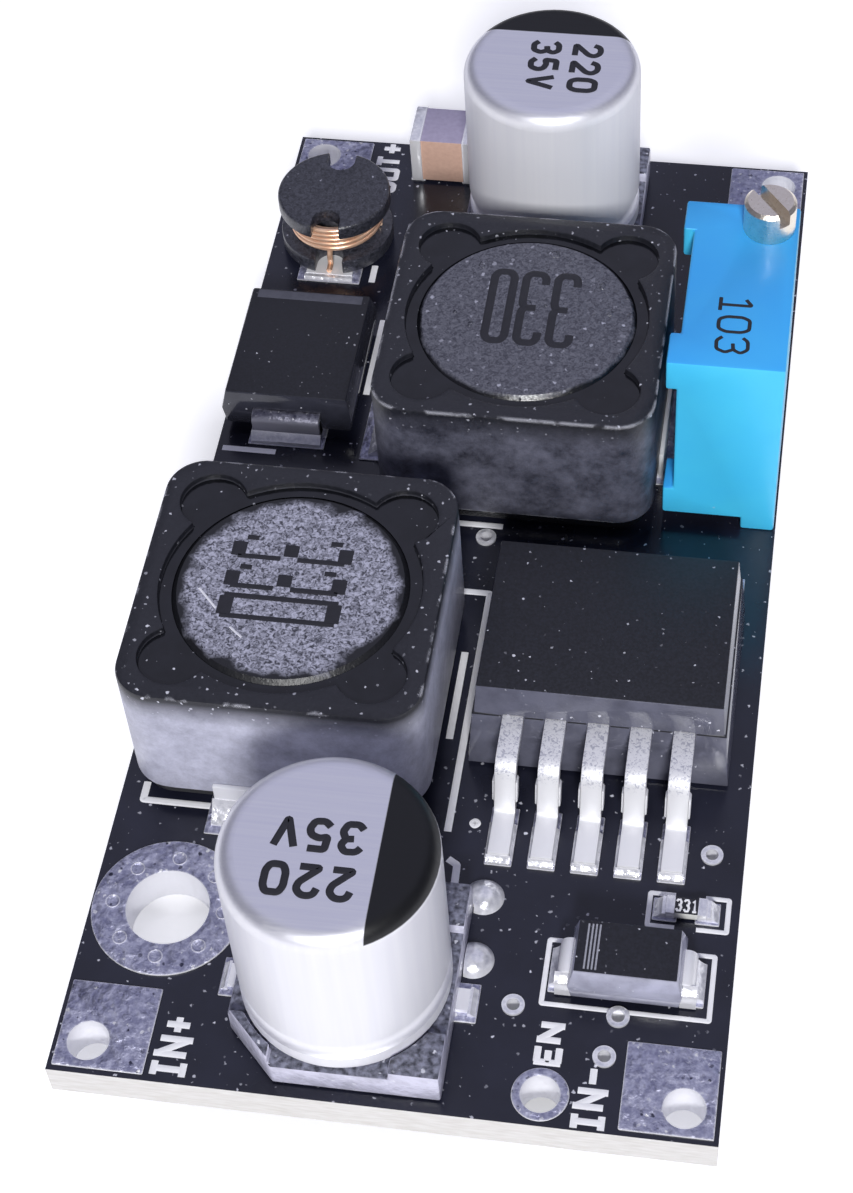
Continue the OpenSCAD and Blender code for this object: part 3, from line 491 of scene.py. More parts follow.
# %% Black mouldings
def black_moulding(name, dark, pale, side, wall, satin, grain_mm=0.12, depth_mm=0.006, speck_mm=0.06):
    material, tree, shader, place = new_finish(name, {"IOR": 1.55})
    flat = lying(tree)
    grain, tone = mottled(tree, place, grain_mm, dark, pale, spread=(0.34, 0.66), Detail=3.0)
    # Standing faces take the side tone in clouds: partly dust, partly painted light.
    wiped_dust_and_painted_light = mottled(tree, place, 1.0, dark, side, spread=(-0.3, 0.6), Detail=6.0)[1]
    tone = add(tree, "Mix", {FACTOR: flat, FIRST: wiped_dust_and_painted_light, SECOND: tone}, data_type="RGBA")
    specks = dusted(tree, place, tone, 0.36, speck_mm)
    rough = add(tree, "MapRange", {"Value": grain, "To Min": satin[0], "To Max": satin[1]})
    rough = add(tree, "Mix", {FACTOR: flat, AT_ZERO: wall, AT_ONE: rough}, data_type="FLOAT")
    bump = add(tree, "Bump", {"Height": grain, "Strength": 0.4, "Distance": depth_mm * MM})
    feed(tree, shader, {"Base Color": specks, "Roughness": rough, "Normal": bump})
    return material


mould_epoxy = black_moulding(
    "epoxy_moulded_satin", "#0e0f15", "#1e1f28", side="#666776", wall=0.12, satin=(0.45, 0.6),
    speck_mm=0.07,
)
rectifier_epoxy = black_moulding(
    "epoxy_moulded_matt", "#0b0c11", "#171820", side="#34353f", wall=0.14, satin=(0.35, 0.5)
)
# The small diode's pale side tone is a painted reflection on its walls.
diode_epoxy = black_moulding(
    "epoxy_moulded_small", "#0e0f15", "#1c1d26", side="#b2b3c6", wall=0.1, satin=(0.3, 0.45)
)
# The bases' pale side tone is painted light on walls that face the lamp.
base_plastic = black_moulding(
    "base_plastic_moulded", "#32333e", "#888a9c", side="#d6d5e8", wall=0.25, satin=(0.35, 0.6),
    grain_mm=0.26, depth_mm=0.16, speck_mm=0.11,
)
coil_glue = black_moulding(
    "coil_glue_cured_gloss", "#08090d", "#13141a", side="#13141a", wall=0.08, satin=(0.08, 0.2),
    grain_mm=0.9, depth_mm=0.05,
)

# %% [markdown]
# Ferrite is brittle: the outer corners and the rim of a coil shield lose small chips. Chips sit on edges
# that are far enough from the middle to be outer ones, and a noise picks the places along them.

# %% Chipped edges
CHIP_REACH_MM = 0.22
CHIP_SOFT = 0.08
OUTER_FROM_MM = 5.4
OUTER_FULL_MM = 5.7


def chipped(tree, place, shield, sound):
    away = add(tree, "VectorMath", {0: from_middle(tree, place, shield)}, operation="ABSOLUTE")
    away = add(tree, "SeparateXYZ", {0: away}).outputs
    away = add(tree, "Math", {0: away["X"], 1: away["Y"]}, operation="MAXIMUM")
    outer = add(tree, "MapRange", {
        "Value": away, "From Min": OUTER_FROM_MM * MM, "From Max": OUTER_FULL_MM * MM
    })
    edge = add(tree, "Math", {0: near_edge(tree, CHIP_REACH_MM), 1: outer}, operation="MULTIPLY")
    chips = add(tree, "TexNoise", {"Vector": place, "Scale": per_mm(0.9), "Detail": 4.0})
    chips = add(tree, "MapRange", {"Value": chips, "From Min": sound, "From Max": sound + CHIP_SOFT})
    return add(tree, "Math", {0: edge, 1: chips}, operation="MULTIPLY")


print("chips reach", CHIP_REACH_MM, "mm from an edge")

# %% [markdown]
# A coil shield is pressed and fired ferrite, its top dipped in a dark coat, which gathers dust. Its sides
# are bare, greyer, clouded and a little lumpy, and its chips show pale. Real ferrite grains are finer:
# they are drawn coarse enough to show.

# %% Coated ferrite
BARE_BELOW_MM = 8.4
COAT_ABOVE_MM = 9.6


def coated_ferrite(name, shield, side_dark, side_pale, sound):
    material, tree, shader, place = new_finish(name, {"IOR": 1.6})
    grain, coat = mottled(tree, place, 0.16, "#0d0e13", "#26272f", Detail=4.0)
    coat = dusted(tree, place, coat, spacing_mm=0.3, speck_mm=0.08)
    cloud, bare = mottled(
        tree, place, 1.2, side_dark, side_pale, spread=(0.32, 0.68), Detail=8.0, Roughness=0.76
    )
    high = above(tree, place, BARE_BELOW_MM, COAT_ABOVE_MM)
    coated = add(tree, "Math", {0: lying(tree), 1: high}, operation="MAXIMUM")
    tone = add(tree, "Mix", {FACTOR: coated, FIRST: bare, SECOND: coat}, data_type="RGBA")
    tone = add(tree, "Mix", {
        FACTOR: chipped(tree, place, shield, sound), FIRST: tone, SECOND: linear("#e2e3ec")
    }, data_type="RGBA")
    fine = skin(tree, shader, tone, grain, rough=(0.25, 0.5), strength=0.45, depth_mm=0.02)
    lumps = add(tree, "Bump", {
        "Height": cloud, "Strength": 0.4, "Distance": 0.12 * MM, "Normal": fine
    })
    feed(tree, shader, {"Normal": lumps})
    return material


# The front shield's sides are painted much paler than the rear's.
front_shield = coated_ferrite(
    "ferrite_shield_clouded", "front_coil_shield", "#a2a3b3", "#d4d5e6", sound=0.54
)
rear_shield = coated_ferrite(
    "ferrite_shield_coated", "rear_coil_shield", "#2a2b35", "#6a6b7a", sound=0.44
)

# %% [markdown]
# Where glue crept over the rim of a coil's core, the grey of the core breaks off in a ragged border.
# The border is a circle round the core's middle, moved in and out by a noise.

# %% Glue border
CORE_R_MM = 4.7
# Where the border starts and is full, as shares of how ragged it is
BORDER_FROM, BORDER_FULL = 0.15, 0.35


def glue_border(tree, place, core, ragged_mm):
    middle_x, middle_y = middle_of(core)[:2]
    flat = add(tree, "Mapping", {
        "Vector": place, "Location": (-middle_x * MM, -middle_y * MM, 0), "Scale": (1, 1, 0)
    })
    radius = add(tree, "VectorMath", {0: flat}, operation="LENGTH")
    creep = add(tree, "TexNoise", {"Vector": place, "Scale": per_mm(1.6), "Detail": 5.0})
    border = add(tree, "Math", {0: creep, 1: ragged_mm * MM, 2: radius}, operation="MULTIPLY_ADD")
    return add(tree, "MapRange", {
        "Value": border,
        "From Min": (CORE_R_MM + BORDER_FROM * ragged_mm) * MM,
        "From Max": (CORE_R_MM + BORDER_FULL * ragged_mm) * MM,
    })


print("glue border at", CORE_R_MM, "mm")

# %% [markdown]
# The round end of each coil core is ground ferrite, grey and grainy. Small drops of varnish stand on the
# rear one as a low relief, with pale flecks of colour that are their painted highlights. The grain is
# drawn coarse enough to show.

# %% Ground ferrite
# A fleck is a speck of dust plus a share of a drop, its painted highlight, and a drop is flatter than it is
# wide
FLECK_MM, DROP_HIGHLIGHT_SHARE = 0.06, 0.3
DROP_SPACING_MM, DROP_RISE = 0.75, 0.4


def ground_ferrite(name, core, dark, pale, ragged_mm, rough, drop_mm):
    material, tree, shader, place = new_finish(name, {"IOR": 1.6, "Roughness": rough})
    grain, tone = mottled(
        tree, place, 0.17, dark, pale, spread=(0.36, 0.64), Detail=4.0, Distortion=1.2
    )
    # Pale flecks: dust, plus painted highlights where the drops stand.
    dust_and_drop_highlights = dusted(tree, place, tone, 0.4, FLECK_MM + DROP_HIGHLIGHT_SHARE * drop_mm, tint="#b4b5c4")
    glued = add(tree, "Mix", {
        FACTOR: glue_border(tree, place, core, ragged_mm), FIRST: dust_and_drop_highlights, SECOND: linear("#0d0e13")
    }, data_type="RGBA")
    fine = add(tree, "Bump", {"Height": grain, "Strength": 0.5, "Distance": 0.04 * MM})
    drops = add(tree, "Bump", {
        "Height": speckled(tree, place, DROP_SPACING_MM, drop_mm), "Strength": 0.9,
        "Distance": DROP_RISE * drop_mm * MM, "Normal": fine,
    })
    feed(tree, shader, {"Base Color": glued, "Normal": drops})
    return material


front_core = ground_ferrite(
    "ferrite_core_ground_grey", "front_coil_core", "#363741", "#bebfd2",
    ragged_mm=1.9, rough=0.42, drop_mm=0.05,
)
rear_core = ground_ferrite(
    "ferrite_core_varnished", "rear_coil_core", "#3a3b46", "#676873",
    ragged_mm=0.5, rough=0.26, drop_mm=0.22,
)
drum_core = ground_ferrite(
    "ferrite_drum_pressed", "filter_coil_core", "#202128", "#43444e",
    ragged_mm=0.1, rough=0.35, drop_mm=0.05,
)

# %% [markdown]
# The trimmer's case is moulded in a blue thermoplastic with a slight orange-peel skin. Its walls are
# painted a paler blue than its top: painted light on the walls that face the lamp.

# %% Blue plastic
trimmer_plastic, tree, shader, place = new_finish("blue_polyester_moulded", {"IOR": 1.53})
top_tone = mottled(tree, place, 3.0, "#34aaff", "#44bcff", Detail=3.0)[1]
# The paler wall tone is painted light.
wall_tone = mottled(tree, place, 3.0, "#42c6ff", "#52daff", Detail=3.0)[1]
tone = add(tree, "Mix", {FACTOR: lying(tree), FIRST: wall_tone, SECOND: top_tone}, data_type="RGBA")
specks = dusted(tree, place, tone, spacing_mm=1.3, speck_mm=0.1, tint="#bfe4ff")
peel = add(tree, "TexNoise", {"Vector": place, "Scale": per_mm(0.25), "Detail": 2.0})
skin(tree, shader, specks, peel, rough=(0.28, 0.45), strength=0.2, depth_mm=0.01)

# %% [markdown]
# The adjusting screw is turned brass, pale with wear, and the tool left it slightly torn. The marks are
# drawn coarse enough to show.

# %% Turned brass
screw_brass, tree, shader, place = new_finish("brass_turned", {"Metallic": 1.0})
cut, tone = mottled(tree, place, 0.15, "#dacdb6", "#fff9ee", Detail=4.0, Distortion=1.0)
skin(tree, shader, tone, cut, rough=(0.2, 0.42), strength=0.5, depth_mm=0.03)

# %% [markdown]
# Small chip parts are fired ceramic: the resistor is white alumina under a black glaze, the capacitor a
# tan titanate whose top is painted lilac, a painted reflection of the room. Inside the trimmer, the track
# lies on bare white alumina, the base is a blue-grey potting resin and the seal a matt black rubber. All
# have one fine grain, drawn coarse enough to show, and some have a second tone on the faces that lie.

# %% Fine-grained finishes
def fine_grained(name, dark, pale, grain_mm, rough, top=None):
    material, tree, shader, place = new_finish(name, {"IOR": 1.6, "Roughness": rough})
    grain, tone = mottled(tree, place, grain_mm, dark, pale, Detail=4.0)
    if top:
        top_glaze_and_sheen = mottled(tree, place, grain_mm, *top, Detail=4.0)[1]
        tone = add(tree, "Mix", {FACTOR: lying(tree), FIRST: tone, SECOND: top_glaze_and_sheen}, data_type="RGBA")
    bump = add(tree, "Bump", {"Height": grain, "Strength": 0.3, "Distance": 0.01 * MM})
    feed(tree, shader, {"Base Color": tone, "Normal": bump})
    return material


chip_glaze = fine_grained(
    "alumina_chip_glazed", "#cfcfca", "#efefea", grain_mm=0.15, rough=0.22, top=("#0a0a0f", "#1b1c24")
)
# Its lilac top tone is a painted reflection of the room.
capacitor_ceramic = fine_grained(
    "titanate_ceramic_fired", "#c7a08e", "#e2bfac", grain_mm=0.2, rough=0.4, top=("#948ca6", "#b0a8c2")
)
track_ceramic = fine_grained("alumina_fired_white", "#c9c9c4", "#e8e8e3", grain_mm=0.15, rough=0.6)
trimmer_resin = fine_grained("potting_resin_cured", "#31425c", "#4d648a", grain_mm=0.6, rough=0.35)
seal_rubber = fine_grained("seal_rubber_moulded", "#15151a", "#25252b", grain_mm=0.2, rough=0.7)

# %% [markdown]
# Winding wire is copper under a thin coat of clear enamel. The coat adds a second, sharper gleam on top
# of the warm metal.

# %% Enamelled copper
enamelled_copper, tree, shader, place = new_finish(
    "copper_wire_enamelled", {"Metallic": 0.6, "Coat Weight": 0.6, "Coat Roughness": 0.08}
)
tarnish, tone = mottled(tree, place, 0.6, "#f0aa7c", "#ffe4ca", Detail=3.0)
rough = add(tree, "MapRange", {"Value": tarnish, "To Min": 0.25, "To Max": 0.42})
feed(tree, shader, {"Base Color": tone, "Roughness": rough})

# %% [markdown]
# Each CAD node gets the finish of what it is made of. The record names the same materials as slots, so
# the second table only adds where one slot has several finishes on the real parts, and gives the large
# diode's terminals a darker copy of the tin, painted shade.

# %% Finish every CAD node
FINISH_OF_SLOT = {
    "solder_mask": solder_mask,
    "tinned_copper": tinned_copper,
    "solder": solder,
    "can_aluminium": input_can,
    "base_plastic": base_plastic,
    "tinned_lead": tinned_lead,
    "ferrite_shield": front_shield,
    "ferrite_core": front_core,
    "enamelled_copper": enamelled_copper,
    "coil_glue": coil_glue,
    "mould_epoxy": mould_epoxy,
    "chip_glaze": chip_glaze,
    "capacitor_ceramic": capacitor_ceramic,
    "track_ceramic": track_ceramic,
    "trimmer_plastic": trimmer_plastic,
    "trimmer_resin": trimmer_resin,
    "seal_rubber": seal_rubber,
    "screw_brass": screw_brass,
}
OWN_FINISH = {
    "rear_coil_core": rear_core, "filter_coil_core": drum_core, "rear_coil_shield": rear_shield,
    "output_capacitor_can": output_can, "small_diode_body": diode_epoxy,
    "rectifier_body": rectifier_epoxy, "ceramic_capacitor_ends": solder, "chip_resistor_ends": solder,
    "plated_vias": solder, "rectifier_terminals": shaded_tin_copy,
}
slot_of = {}
for name, node in nodes.items():
    slot_of[name] = node.data.materials[0].name
    node.data.materials[0] = OWN_FINISH.get(name, FINISH_OF_SLOT[slot_of[name]])
print("finished nodes:", len(slot_of))

# %% [markdown]
# Work on a mesh always goes the same way: take the piece and nothing else, open it with everything
# chosen, and close it again with its faces smoothed up to an angle.

# %% Take, open and smooth
def take(*pieces):
    bpy.ops.object.select_all(action="DESELECT")
    for piece in pieces:
        piece.select_set(True)
    bpy.context.view_layer.objects.active = pieces[0]


def open_up():
    bpy.ops.object.mode_set(mode="EDIT")
    bpy.ops.mesh.select_all(action="SELECT")


def smoothed(angle_deg):
    bpy.ops.object.mode_set(mode="OBJECT")
    bpy.ops.object.shade_smooth_by_angle(angle=math.radians(angle_deg))


print("first hand tools ready")

# %% [markdown]
# No moulded, pressed or bent part has knife-sharp edges, and a narrow rounded edge is what catches the
# light. A copy of the node's mesh is merged, its triangles are dissolved to whole faces, and a Bevel
# modifier breaks every edge that turns sharply. The copy then stands for the node.

# %% Break the sharp edges
EDGE_MM = {
    "input_capacitor_base": 0.1, "output_capacitor_base": 0.1,
    "front_coil_shield": 0.12, "rear_coil_shield": 0.12,
    "regulator_body": 0.07, "regulator_leads": 0.035, "regulator_tab": 0.05,
    "rectifier_body": 0.1, "rectifier_terminals": 0.04,
    "small_diode_body": 0.06, "small_diode_terminals": 0.04,
    "chip_resistor_body": 0.02, "chip_resistor_ends": 0.03,
    "ceramic_capacitor_body": 0.06, "ceramic_capacitor_ends": 0.08,
    "trimmer_case": 0.12, "filter_coil_core": 0.06,
    "front_coil_terminals": 0.04, "rear_coil_terminals": 0.04,
    "input_plus_pad": 0.06, "input_minus_pad": 0.06, "output_plus_pad": 0.06, "output_minus_pad": 0.06,
    "mounting_ring": 0.03, "enable_pad": 0.06, "component_lands": 0.05,
}
EDGE_STEPS = 2
MERGE_MM = 0.001
LEVEL_DEG = 1
SHARP_DEG = 35

for name, edge_mm in EDGE_MM.items():
    piece = bpy.data.objects.new(name + "_finished", nodes[name].data.copy())
    collection.objects.link(piece)
    take(piece)
    bpy.ops.mesh.customdata_custom_splitnormals_clear()
    open_up()
    bpy.ops.mesh.remove_doubles(threshold=MERGE_MM * MM)
    bpy.ops.mesh.dissolve_limited(angle_limit=math.radians(LEVEL_DEG))
    bpy.ops.object.mode_set(mode="OBJECT")
    bpy.ops.object.modifier_add(type="BEVEL")
    bevel = piece.modifiers[-1]
    bevel.width = edge_mm * MM
    bevel.segments = EDGE_STEPS
    bevel.limit_method = "ANGLE"
    bevel.angle_limit = math.radians(SHARP_DEG)
    bevel.use_clamp_overlap = False
    bpy.ops.object.modifier_apply(modifier=bevel.name)
    smoothed(SHARP_DEG)
    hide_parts(name)
    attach(piece, "module")
print("pieces with broken edges:", len(EDGE_MM))

# %% [markdown]
# New pieces need three more steps: picking edges or faces by their place, joining what belongs together,
# and settling a finished piece with its name, its material and the body that carries it.

# %% Pick, join and settle
def pick(piece, kind, chosen):
    bpy.ops.object.mode_set(mode="EDIT")
    bpy.ops.mesh.select_mode(type=kind)
    bpy.ops.mesh.select_all(action="DESELECT")
    bpy.ops.object.mode_set(mode="OBJECT")
    for element in {"EDGE": piece.data.edges, "FACE": piece.data.polygons}[kind]:
        element.select = chosen(element)
    bpy.ops.object.mode_set(mode="EDIT")


def joined(pieces):
    take(*pieces)
    if len(pieces) > 1:
        bpy.ops.object.join()
    return pieces[0]


def settle(piece, name, material):
    piece.name = name
    piece.data.name = name
    piece.data.materials.clear()
    piece.data.materials.append(material)
    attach(piece, "module")


print("hand tools ready")

# %% [markdown]
# Solder climbs the outer face of a terminal in a hollow curve and thins out to the edge of its land. A
# block the size of the joint gets its outer top edge bevelled with a hollow profile, which is that curve.

# %% One solder joint
LAND_Z_MM = 2.7
OUT_FACES = {"-x": (0, -1), "+x": (0, 1), "-y": (1, -1), "+y": (1, 1)}
HOLLOW = 0.2
HOLLOW_SHARE = 0.96
HOLLOW_STEPS = 6
SAME_PLACE = 1e-7
SMOOTH_DEG = 50


def solder_wedge(low, high, rise, out):
    middle = [(a + b) / 2 * MM for a, b in zip(low, high)]
    size = [(b - a) * MM for a, b in zip(low, high)]
    bpy.ops.object.select_all(action="DESELECT")
    bpy.ops.mesh.primitive_cube_add(size=1, location=(*middle, (LAND_Z_MM + rise / 2) * MM))
    wedge = bpy.context.object
    wedge.scale = (*size, rise * MM)
    bpy.ops.object.transform_apply()
    axis, sign = OUT_FACES[out]
    outer = sign * max(sign * v.co[axis] for v in wedge.data.vertices)
    top = max(v.co.z for v in wedge.data.vertices)

    def at_outer_top(edge):
        ends = [wedge.data.vertices[i].co for i in edge.vertices]
        return all(abs(p[axis] - outer) < SAME_PLACE and abs(p.z - top) < SAME_PLACE for p in ends)

    pick(wedge, "EDGE", at_outer_top)
    bpy.ops.mesh.bevel(
        offset=HOLLOW_SHARE * min(size[axis], rise * MM), segments=HOLLOW_STEPS, profile=HOLLOW,
        clamp_overlap=False,
    )
    smoothed(SMOOTH_DEG)
    return wedge


print("joints start at", LAND_Z_MM, "mm")

# %% [markdown]
# Each part has a joint wherever a terminal meets its land. A joint is given by two corners seen from
# above, by how high it climbs, all in millimetres, and by the side to which it thins out. The joints of
# one part are joined to one piece.

# %% Solder joints
LEAD_PITCH_MM = 1.7
REGULATOR_X_MM = 6.38
# Half widths of a lead's foot, of the joint at its toe, and of both joints along its sides
FOOT_MM, TOE_MM, SIDES_MM = 0.42, 0.48, 0.55
LEADS_X_MM = [REGULATOR_X_MM + i * LEAD_PITCH_MM for i in range(-2, 3)]
SOLDER_JOINTS = {
    "regulator_solder": [
        joint for x in LEADS_X_MM for joint in (
            ((x - TOE_MM, -15.03), (x + TOE_MM, -14.8), 0.34, "-y"),
            ((x - SIDES_MM, -14.8), (x - FOOT_MM, -13.2), 0.2, "-x"),
            ((x + FOOT_MM, -14.8), (x + SIDES_MM, -13.2), 0.2, "+x"),
        )
    ],
    "small_diode_solder": [
        ((5.64, -20.15), (5.97, -18.6), 0.55, "-x"), ((11.17, -20.15), (11.5, -18.6), 0.55, "+x"),
        ((5.9, -20.42), (6.52, -20.1), 1.2, "-y"), ((10.62, -20.42), (11.24, -20.1), 1.2, "-y"),
    ],
    "chip_resistor_solder": [
        ((9.25, -16.64), (9.71, -15.86), 0.34, "-x"), ((11.31, -16.64), (11.77, -15.86), 0.34, "+x")
    ],
    "input_capacitor_solder": [
        ((-6.72, -21.75), (-6.42, -20.6), 0.2, "-x"), ((2.78, -21.75), (3.08, -20.6), 0.2, "+x")
    ],
    "output_capacitor_solder": [
        ((0.2, 15.78), (1.38, 16.08), 0.2, "-y"), ((0.2, 25.28), (1.38, 25.58), 0.2, "+y")
    ],
    "front_coil_solder": [
        ((-8.6, -14.6), (-3.46, -13.83), 0.8, "-y"), ((-8.6, -1.41), (-3.46, -0.7), 0.8, "+y")
    ],
    "rear_coil_solder": [((-5.7, 5.32), (-4.94, 10.46), 0.8, "-x")],
    "rectifier_solder": [
        ((-11.05, 5.5), (-7.9, 5.82), 0.5, "-y"), ((-11.05, 13.62), (-7.9, 13.94), 0.5, "+y")
    ],
    "filter_coil_solder": [
        ((-10.6, 15.88), (-8.3, 16.2), 0.13, "-y"), ((-10.6, 21.5), (-8.3, 21.82), 0.13, "+y")
    ],
}
for name, joints in SOLDER_JOINTS.items():
    settle(joined([solder_wedge(*joint) for joint in joints]), name, solder)
print("solder pieces:", len(SOLDER_JOINTS))

# %% [markdown]
# Eight small plated holes stitch the mounting ring to the copper below. Levelling filled them with tin,
# which sank in the middle as it cooled. One plug is a low disc whose top face is inset and pushed down; a
# bevel rounds its rim, and turned copies of it stand round the ring.

# %% Plugs in the ring's holes
PLUG_R_MM = 0.29
PLUG_HIGH_MM = 0.1
PLUG_SIDES = 20
DISH_RIM_MM = 0.1
DISH_DEEP_MM = 0.07
PLUG_ROUND_MM = 0.025
PLUG_STEPS = 2
STITCH_R_MM = 2.2
STITCHES = 8
ROUND_DEG = 60
ring_x, ring_y = middle_of("mounting_ring")[:2]

bpy.ops.object.select_all(action="DESELECT")
bpy.ops.mesh.primitive_cylinder_add(
    vertices=PLUG_SIDES, radius=PLUG_R_MM * MM, depth=PLUG_HIGH_MM * MM,
    location=((ring_x + STITCH_R_MM) * MM, ring_y * MM, LAND_Z_MM * MM),
)
plug = bpy.context.object
top = max(plug.data.polygons, key=lambda face: face.center.z).index
pick(plug, "FACE", lambda face: face.index == top)
bpy.ops.mesh.inset(thickness=DISH_RIM_MM * MM)
bpy.ops.transform.translate(value=(0, 0, -DISH_DEEP_MM * MM))
bpy.ops.mesh.select_all(action="SELECT")
bpy.ops.mesh.bevel(offset=PLUG_ROUND_MM * MM, segments=PLUG_STEPS)
bpy.ops.object.mode_set(mode="OBJECT")
bpy.ops.object.transform_apply()
smoothed(ROUND_DEG)
plugs = [plug]
for _ in range(1, STITCHES):
    bpy.ops.object.duplicate()
    bpy.ops.transform.rotate(
        value=2 * math.pi / STITCHES, orient_axis="Z", center_override=(ring_x * MM, ring_y * MM, 0)
    )
    bpy.ops.object.transform_apply()
    plugs.append(bpy.context.object)
settle(joined(plugs), "mounting_ring_plugs", tinned_copper)
print("plugs:", STITCHES)

# %% [markdown]
# The open drum coil shows its wire. A small circle, the section of the wire, is swept round the core by a
# Screw modifier that climbs one wire width a turn, once for each layer. The tube's two ends are filled.

# %% Wire turns of the filter coil
WIRE_MM = 0.27
WIRE_SIDES = 10
FILL_SIDES = 12
TURN_STEPS = 40
# Radius, height of the first turn, both in millimetres, and number of turns
WIRE_LAYERS = ((2.06, 3.79, 5), (1.82, 3.92, 4))
drum_x, drum_y = middle_of("filter_coil_winding")[:2]

turns = []
for radius, start, count in WIRE_LAYERS:
    bpy.ops.object.select_all(action="DESELECT")
    bpy.ops.mesh.primitive_circle_add(
        vertices=WIRE_SIDES, radius=WIRE_MM / 2 * MM, rotation=(math.radians(90), 0, 0),
        location=((drum_x + radius) * MM, drum_y * MM, start * MM),
    )
    wire = bpy.context.object
    bpy.context.scene.cursor.location = (drum_x * MM, drum_y * MM, 0)
    bpy.ops.object.transform_apply(location=False)
    bpy.ops.object.origin_set(type="ORIGIN_CURSOR")
    bpy.ops.object.modifier_add(type="SCREW")
    screw = wire.modifiers[-1]
    screw.steps = screw.render_steps = TURN_STEPS
    screw.iterations = count
    screw.screw_offset = WIRE_MM * MM
    bpy.ops.object.modifier_apply(modifier=screw.name)
    open_up()
    bpy.ops.mesh.fill_holes(sides=FILL_SIDES)
    bpy.ops.mesh.select_all(action="SELECT")
    bpy.ops.mesh.normals_make_consistent(inside=False)
    bpy.ops.object.mode_set(mode="OBJECT")
    bpy.ops.object.transform_apply()
    smoothed(SMOOTH_DEG)
    turns.append(wire)
bpy.context.scene.cursor.location = (0, 0, 0)
winding = joined(turns)
settle(winding, "filter_coil_wire", enamelled_copper)
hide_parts("filter_coil_winding")
print("wire turns:", sum(layer[2] for layer in WIRE_LAYERS))

# %% [markdown]
# Wire ends and printed marks are both lines of even width. A line is drawn as a chain of edges, vertex by
# vertex; a vertex bevel rounds its corners; as a curve it gets a round pen, and then it becomes a mesh.

# %% Pen for wires and marks
CORNER_STEPS = 4


def pen(lines, width, corner):
    bpy.ops.object.select_all(action="DESELECT")
    bpy.ops.mesh.primitive_plane_add(size=width * MM)
    bpy.ops.object.mode_set(mode="EDIT")
    bpy.ops.mesh.select_mode(type="VERT")
    bpy.ops.mesh.select_all(action="SELECT")
    bpy.ops.mesh.delete(type="VERT")
    for line in lines:
        points = [Vector(point) * MM for point in line]
        bpy.ops.mesh.select_all(action="DESELECT")
        bpy.ops.mesh.primitive_plane_add(size=width * MM, location=points[0])
        bpy.ops.mesh.merge(type="CENTER")
        for point, following in zip(points, points[1:]):
            bpy.ops.mesh.extrude_vertices_move(
                TRANSFORM_OT_translate={"value": following - point}
            )
        if line[0] == line[-1]:
            bpy.ops.mesh.select_linked()
            bpy.ops.mesh.remove_doubles(threshold=MERGE_MM * MM)
    bpy.ops.mesh.select_all(action="SELECT")
    if corner:
        bpy.ops.mesh.bevel(offset=corner * MM, segments=CORNER_STEPS, affect="VERTICES")
    bpy.ops.object.mode_set(mode="OBJECT")
    bpy.ops.object.convert(target="CURVE")
    curve = bpy.context.object.data
    curve.bevel_depth = width / 2 * MM
    curve.bevel_resolution = 1
    curve.use_fill_caps = True
    bpy.ops.object.convert(target="MESH")
    smoothed(ROUND_DEG)
    return bpy.context.object


print("pen ready")

# %% [markdown]
# The two ends of the drum coil's wire leave the winding through the notches of the lower flange and lie
# down on the terminals. They are mirror images, so one row of points, given by its distance from the
# middle and its height in millimetres, serves both.

# %% Wire ends
WIRE_END_MM = ((1.95, 3.8), (2.1, 3.5), (2.1, 2.97), (2.55, 2.97))
WIRE_BEND_MM = 0.12

wire_ends = [
    [(drum_x, drum_y + side * out, height) for out, height in WIRE_END_MM] for side in (-1, 1)
]
ends = pen(wire_ends, WIRE_MM, WIRE_BEND_MM)
settle(ends, "filter_coil_wire_ends", enamelled_copper)
print("wire ends:", len(wire_ends))

# %% [markdown]
# Printed marks are drawn with the same pen and then pressed nearly flat, which leaves a bead of ink that
# is highest along its middle. Strokes that cross lie a hair above one another, so no two faces share a
# place. Screen ink is a chalky white, stamp ink a soft black; a laser leaves frosted grey lines, and a
# scratch lays bare pale ferrite.

# %% Inks and scratches
white_ink = fine_grained("screen_ink_cured_white", "#f0f0f4", "#fdfdfe", grain_mm=0.3, rough=0.5)
black_ink = fine_grained("stamp_ink_dried_black", "#101016", "#22222b", grain_mm=0.3, rough=0.55)
band_grey = fine_grained("band_ink_dried_grey", "#3b3c46", "#5a5b66", grain_mm=0.3, rough=0.5)
laser_grey = fine_grained("laser_mark_grey", "#8d8e99", "#b9bac4", grain_mm=0.12, rough=0.6)
scratch_pale = fine_grained("ferrite_scratched_pale", "#dcdde8", "#f4f4fa", grain_mm=0.12, rough=0.35)
INK_RISE_MM = 0.02
LAP = 0.15
LAP_LEVELS = 3


def ink(name, strokes, material, level, width, corner=0.0):
    lifted = [
        [(x, y, level + i % LAP_LEVELS * LAP * width) for x, y in stroke]
        for i, stroke in enumerate(strokes)
    ]
    mark = pen(lifted, width, corner)
    open_up()
    bpy.ops.transform.resize(
        value=(1, 1, INK_RISE_MM / (width / 2)), center_override=(0, 0, level * MM)
    )
    bpy.ops.mesh.normals_make_consistent(inside=False)
    smoothed(ROUND_DEG)
    settle(mark, name, material)
    print(name, "strokes:", len(strokes))


# %% [markdown]
# The white screen print on the board outlines where parts go, with finer frames round the two smallest.
# Its lines are measured from the picture, in millimetres from the middle of the board.

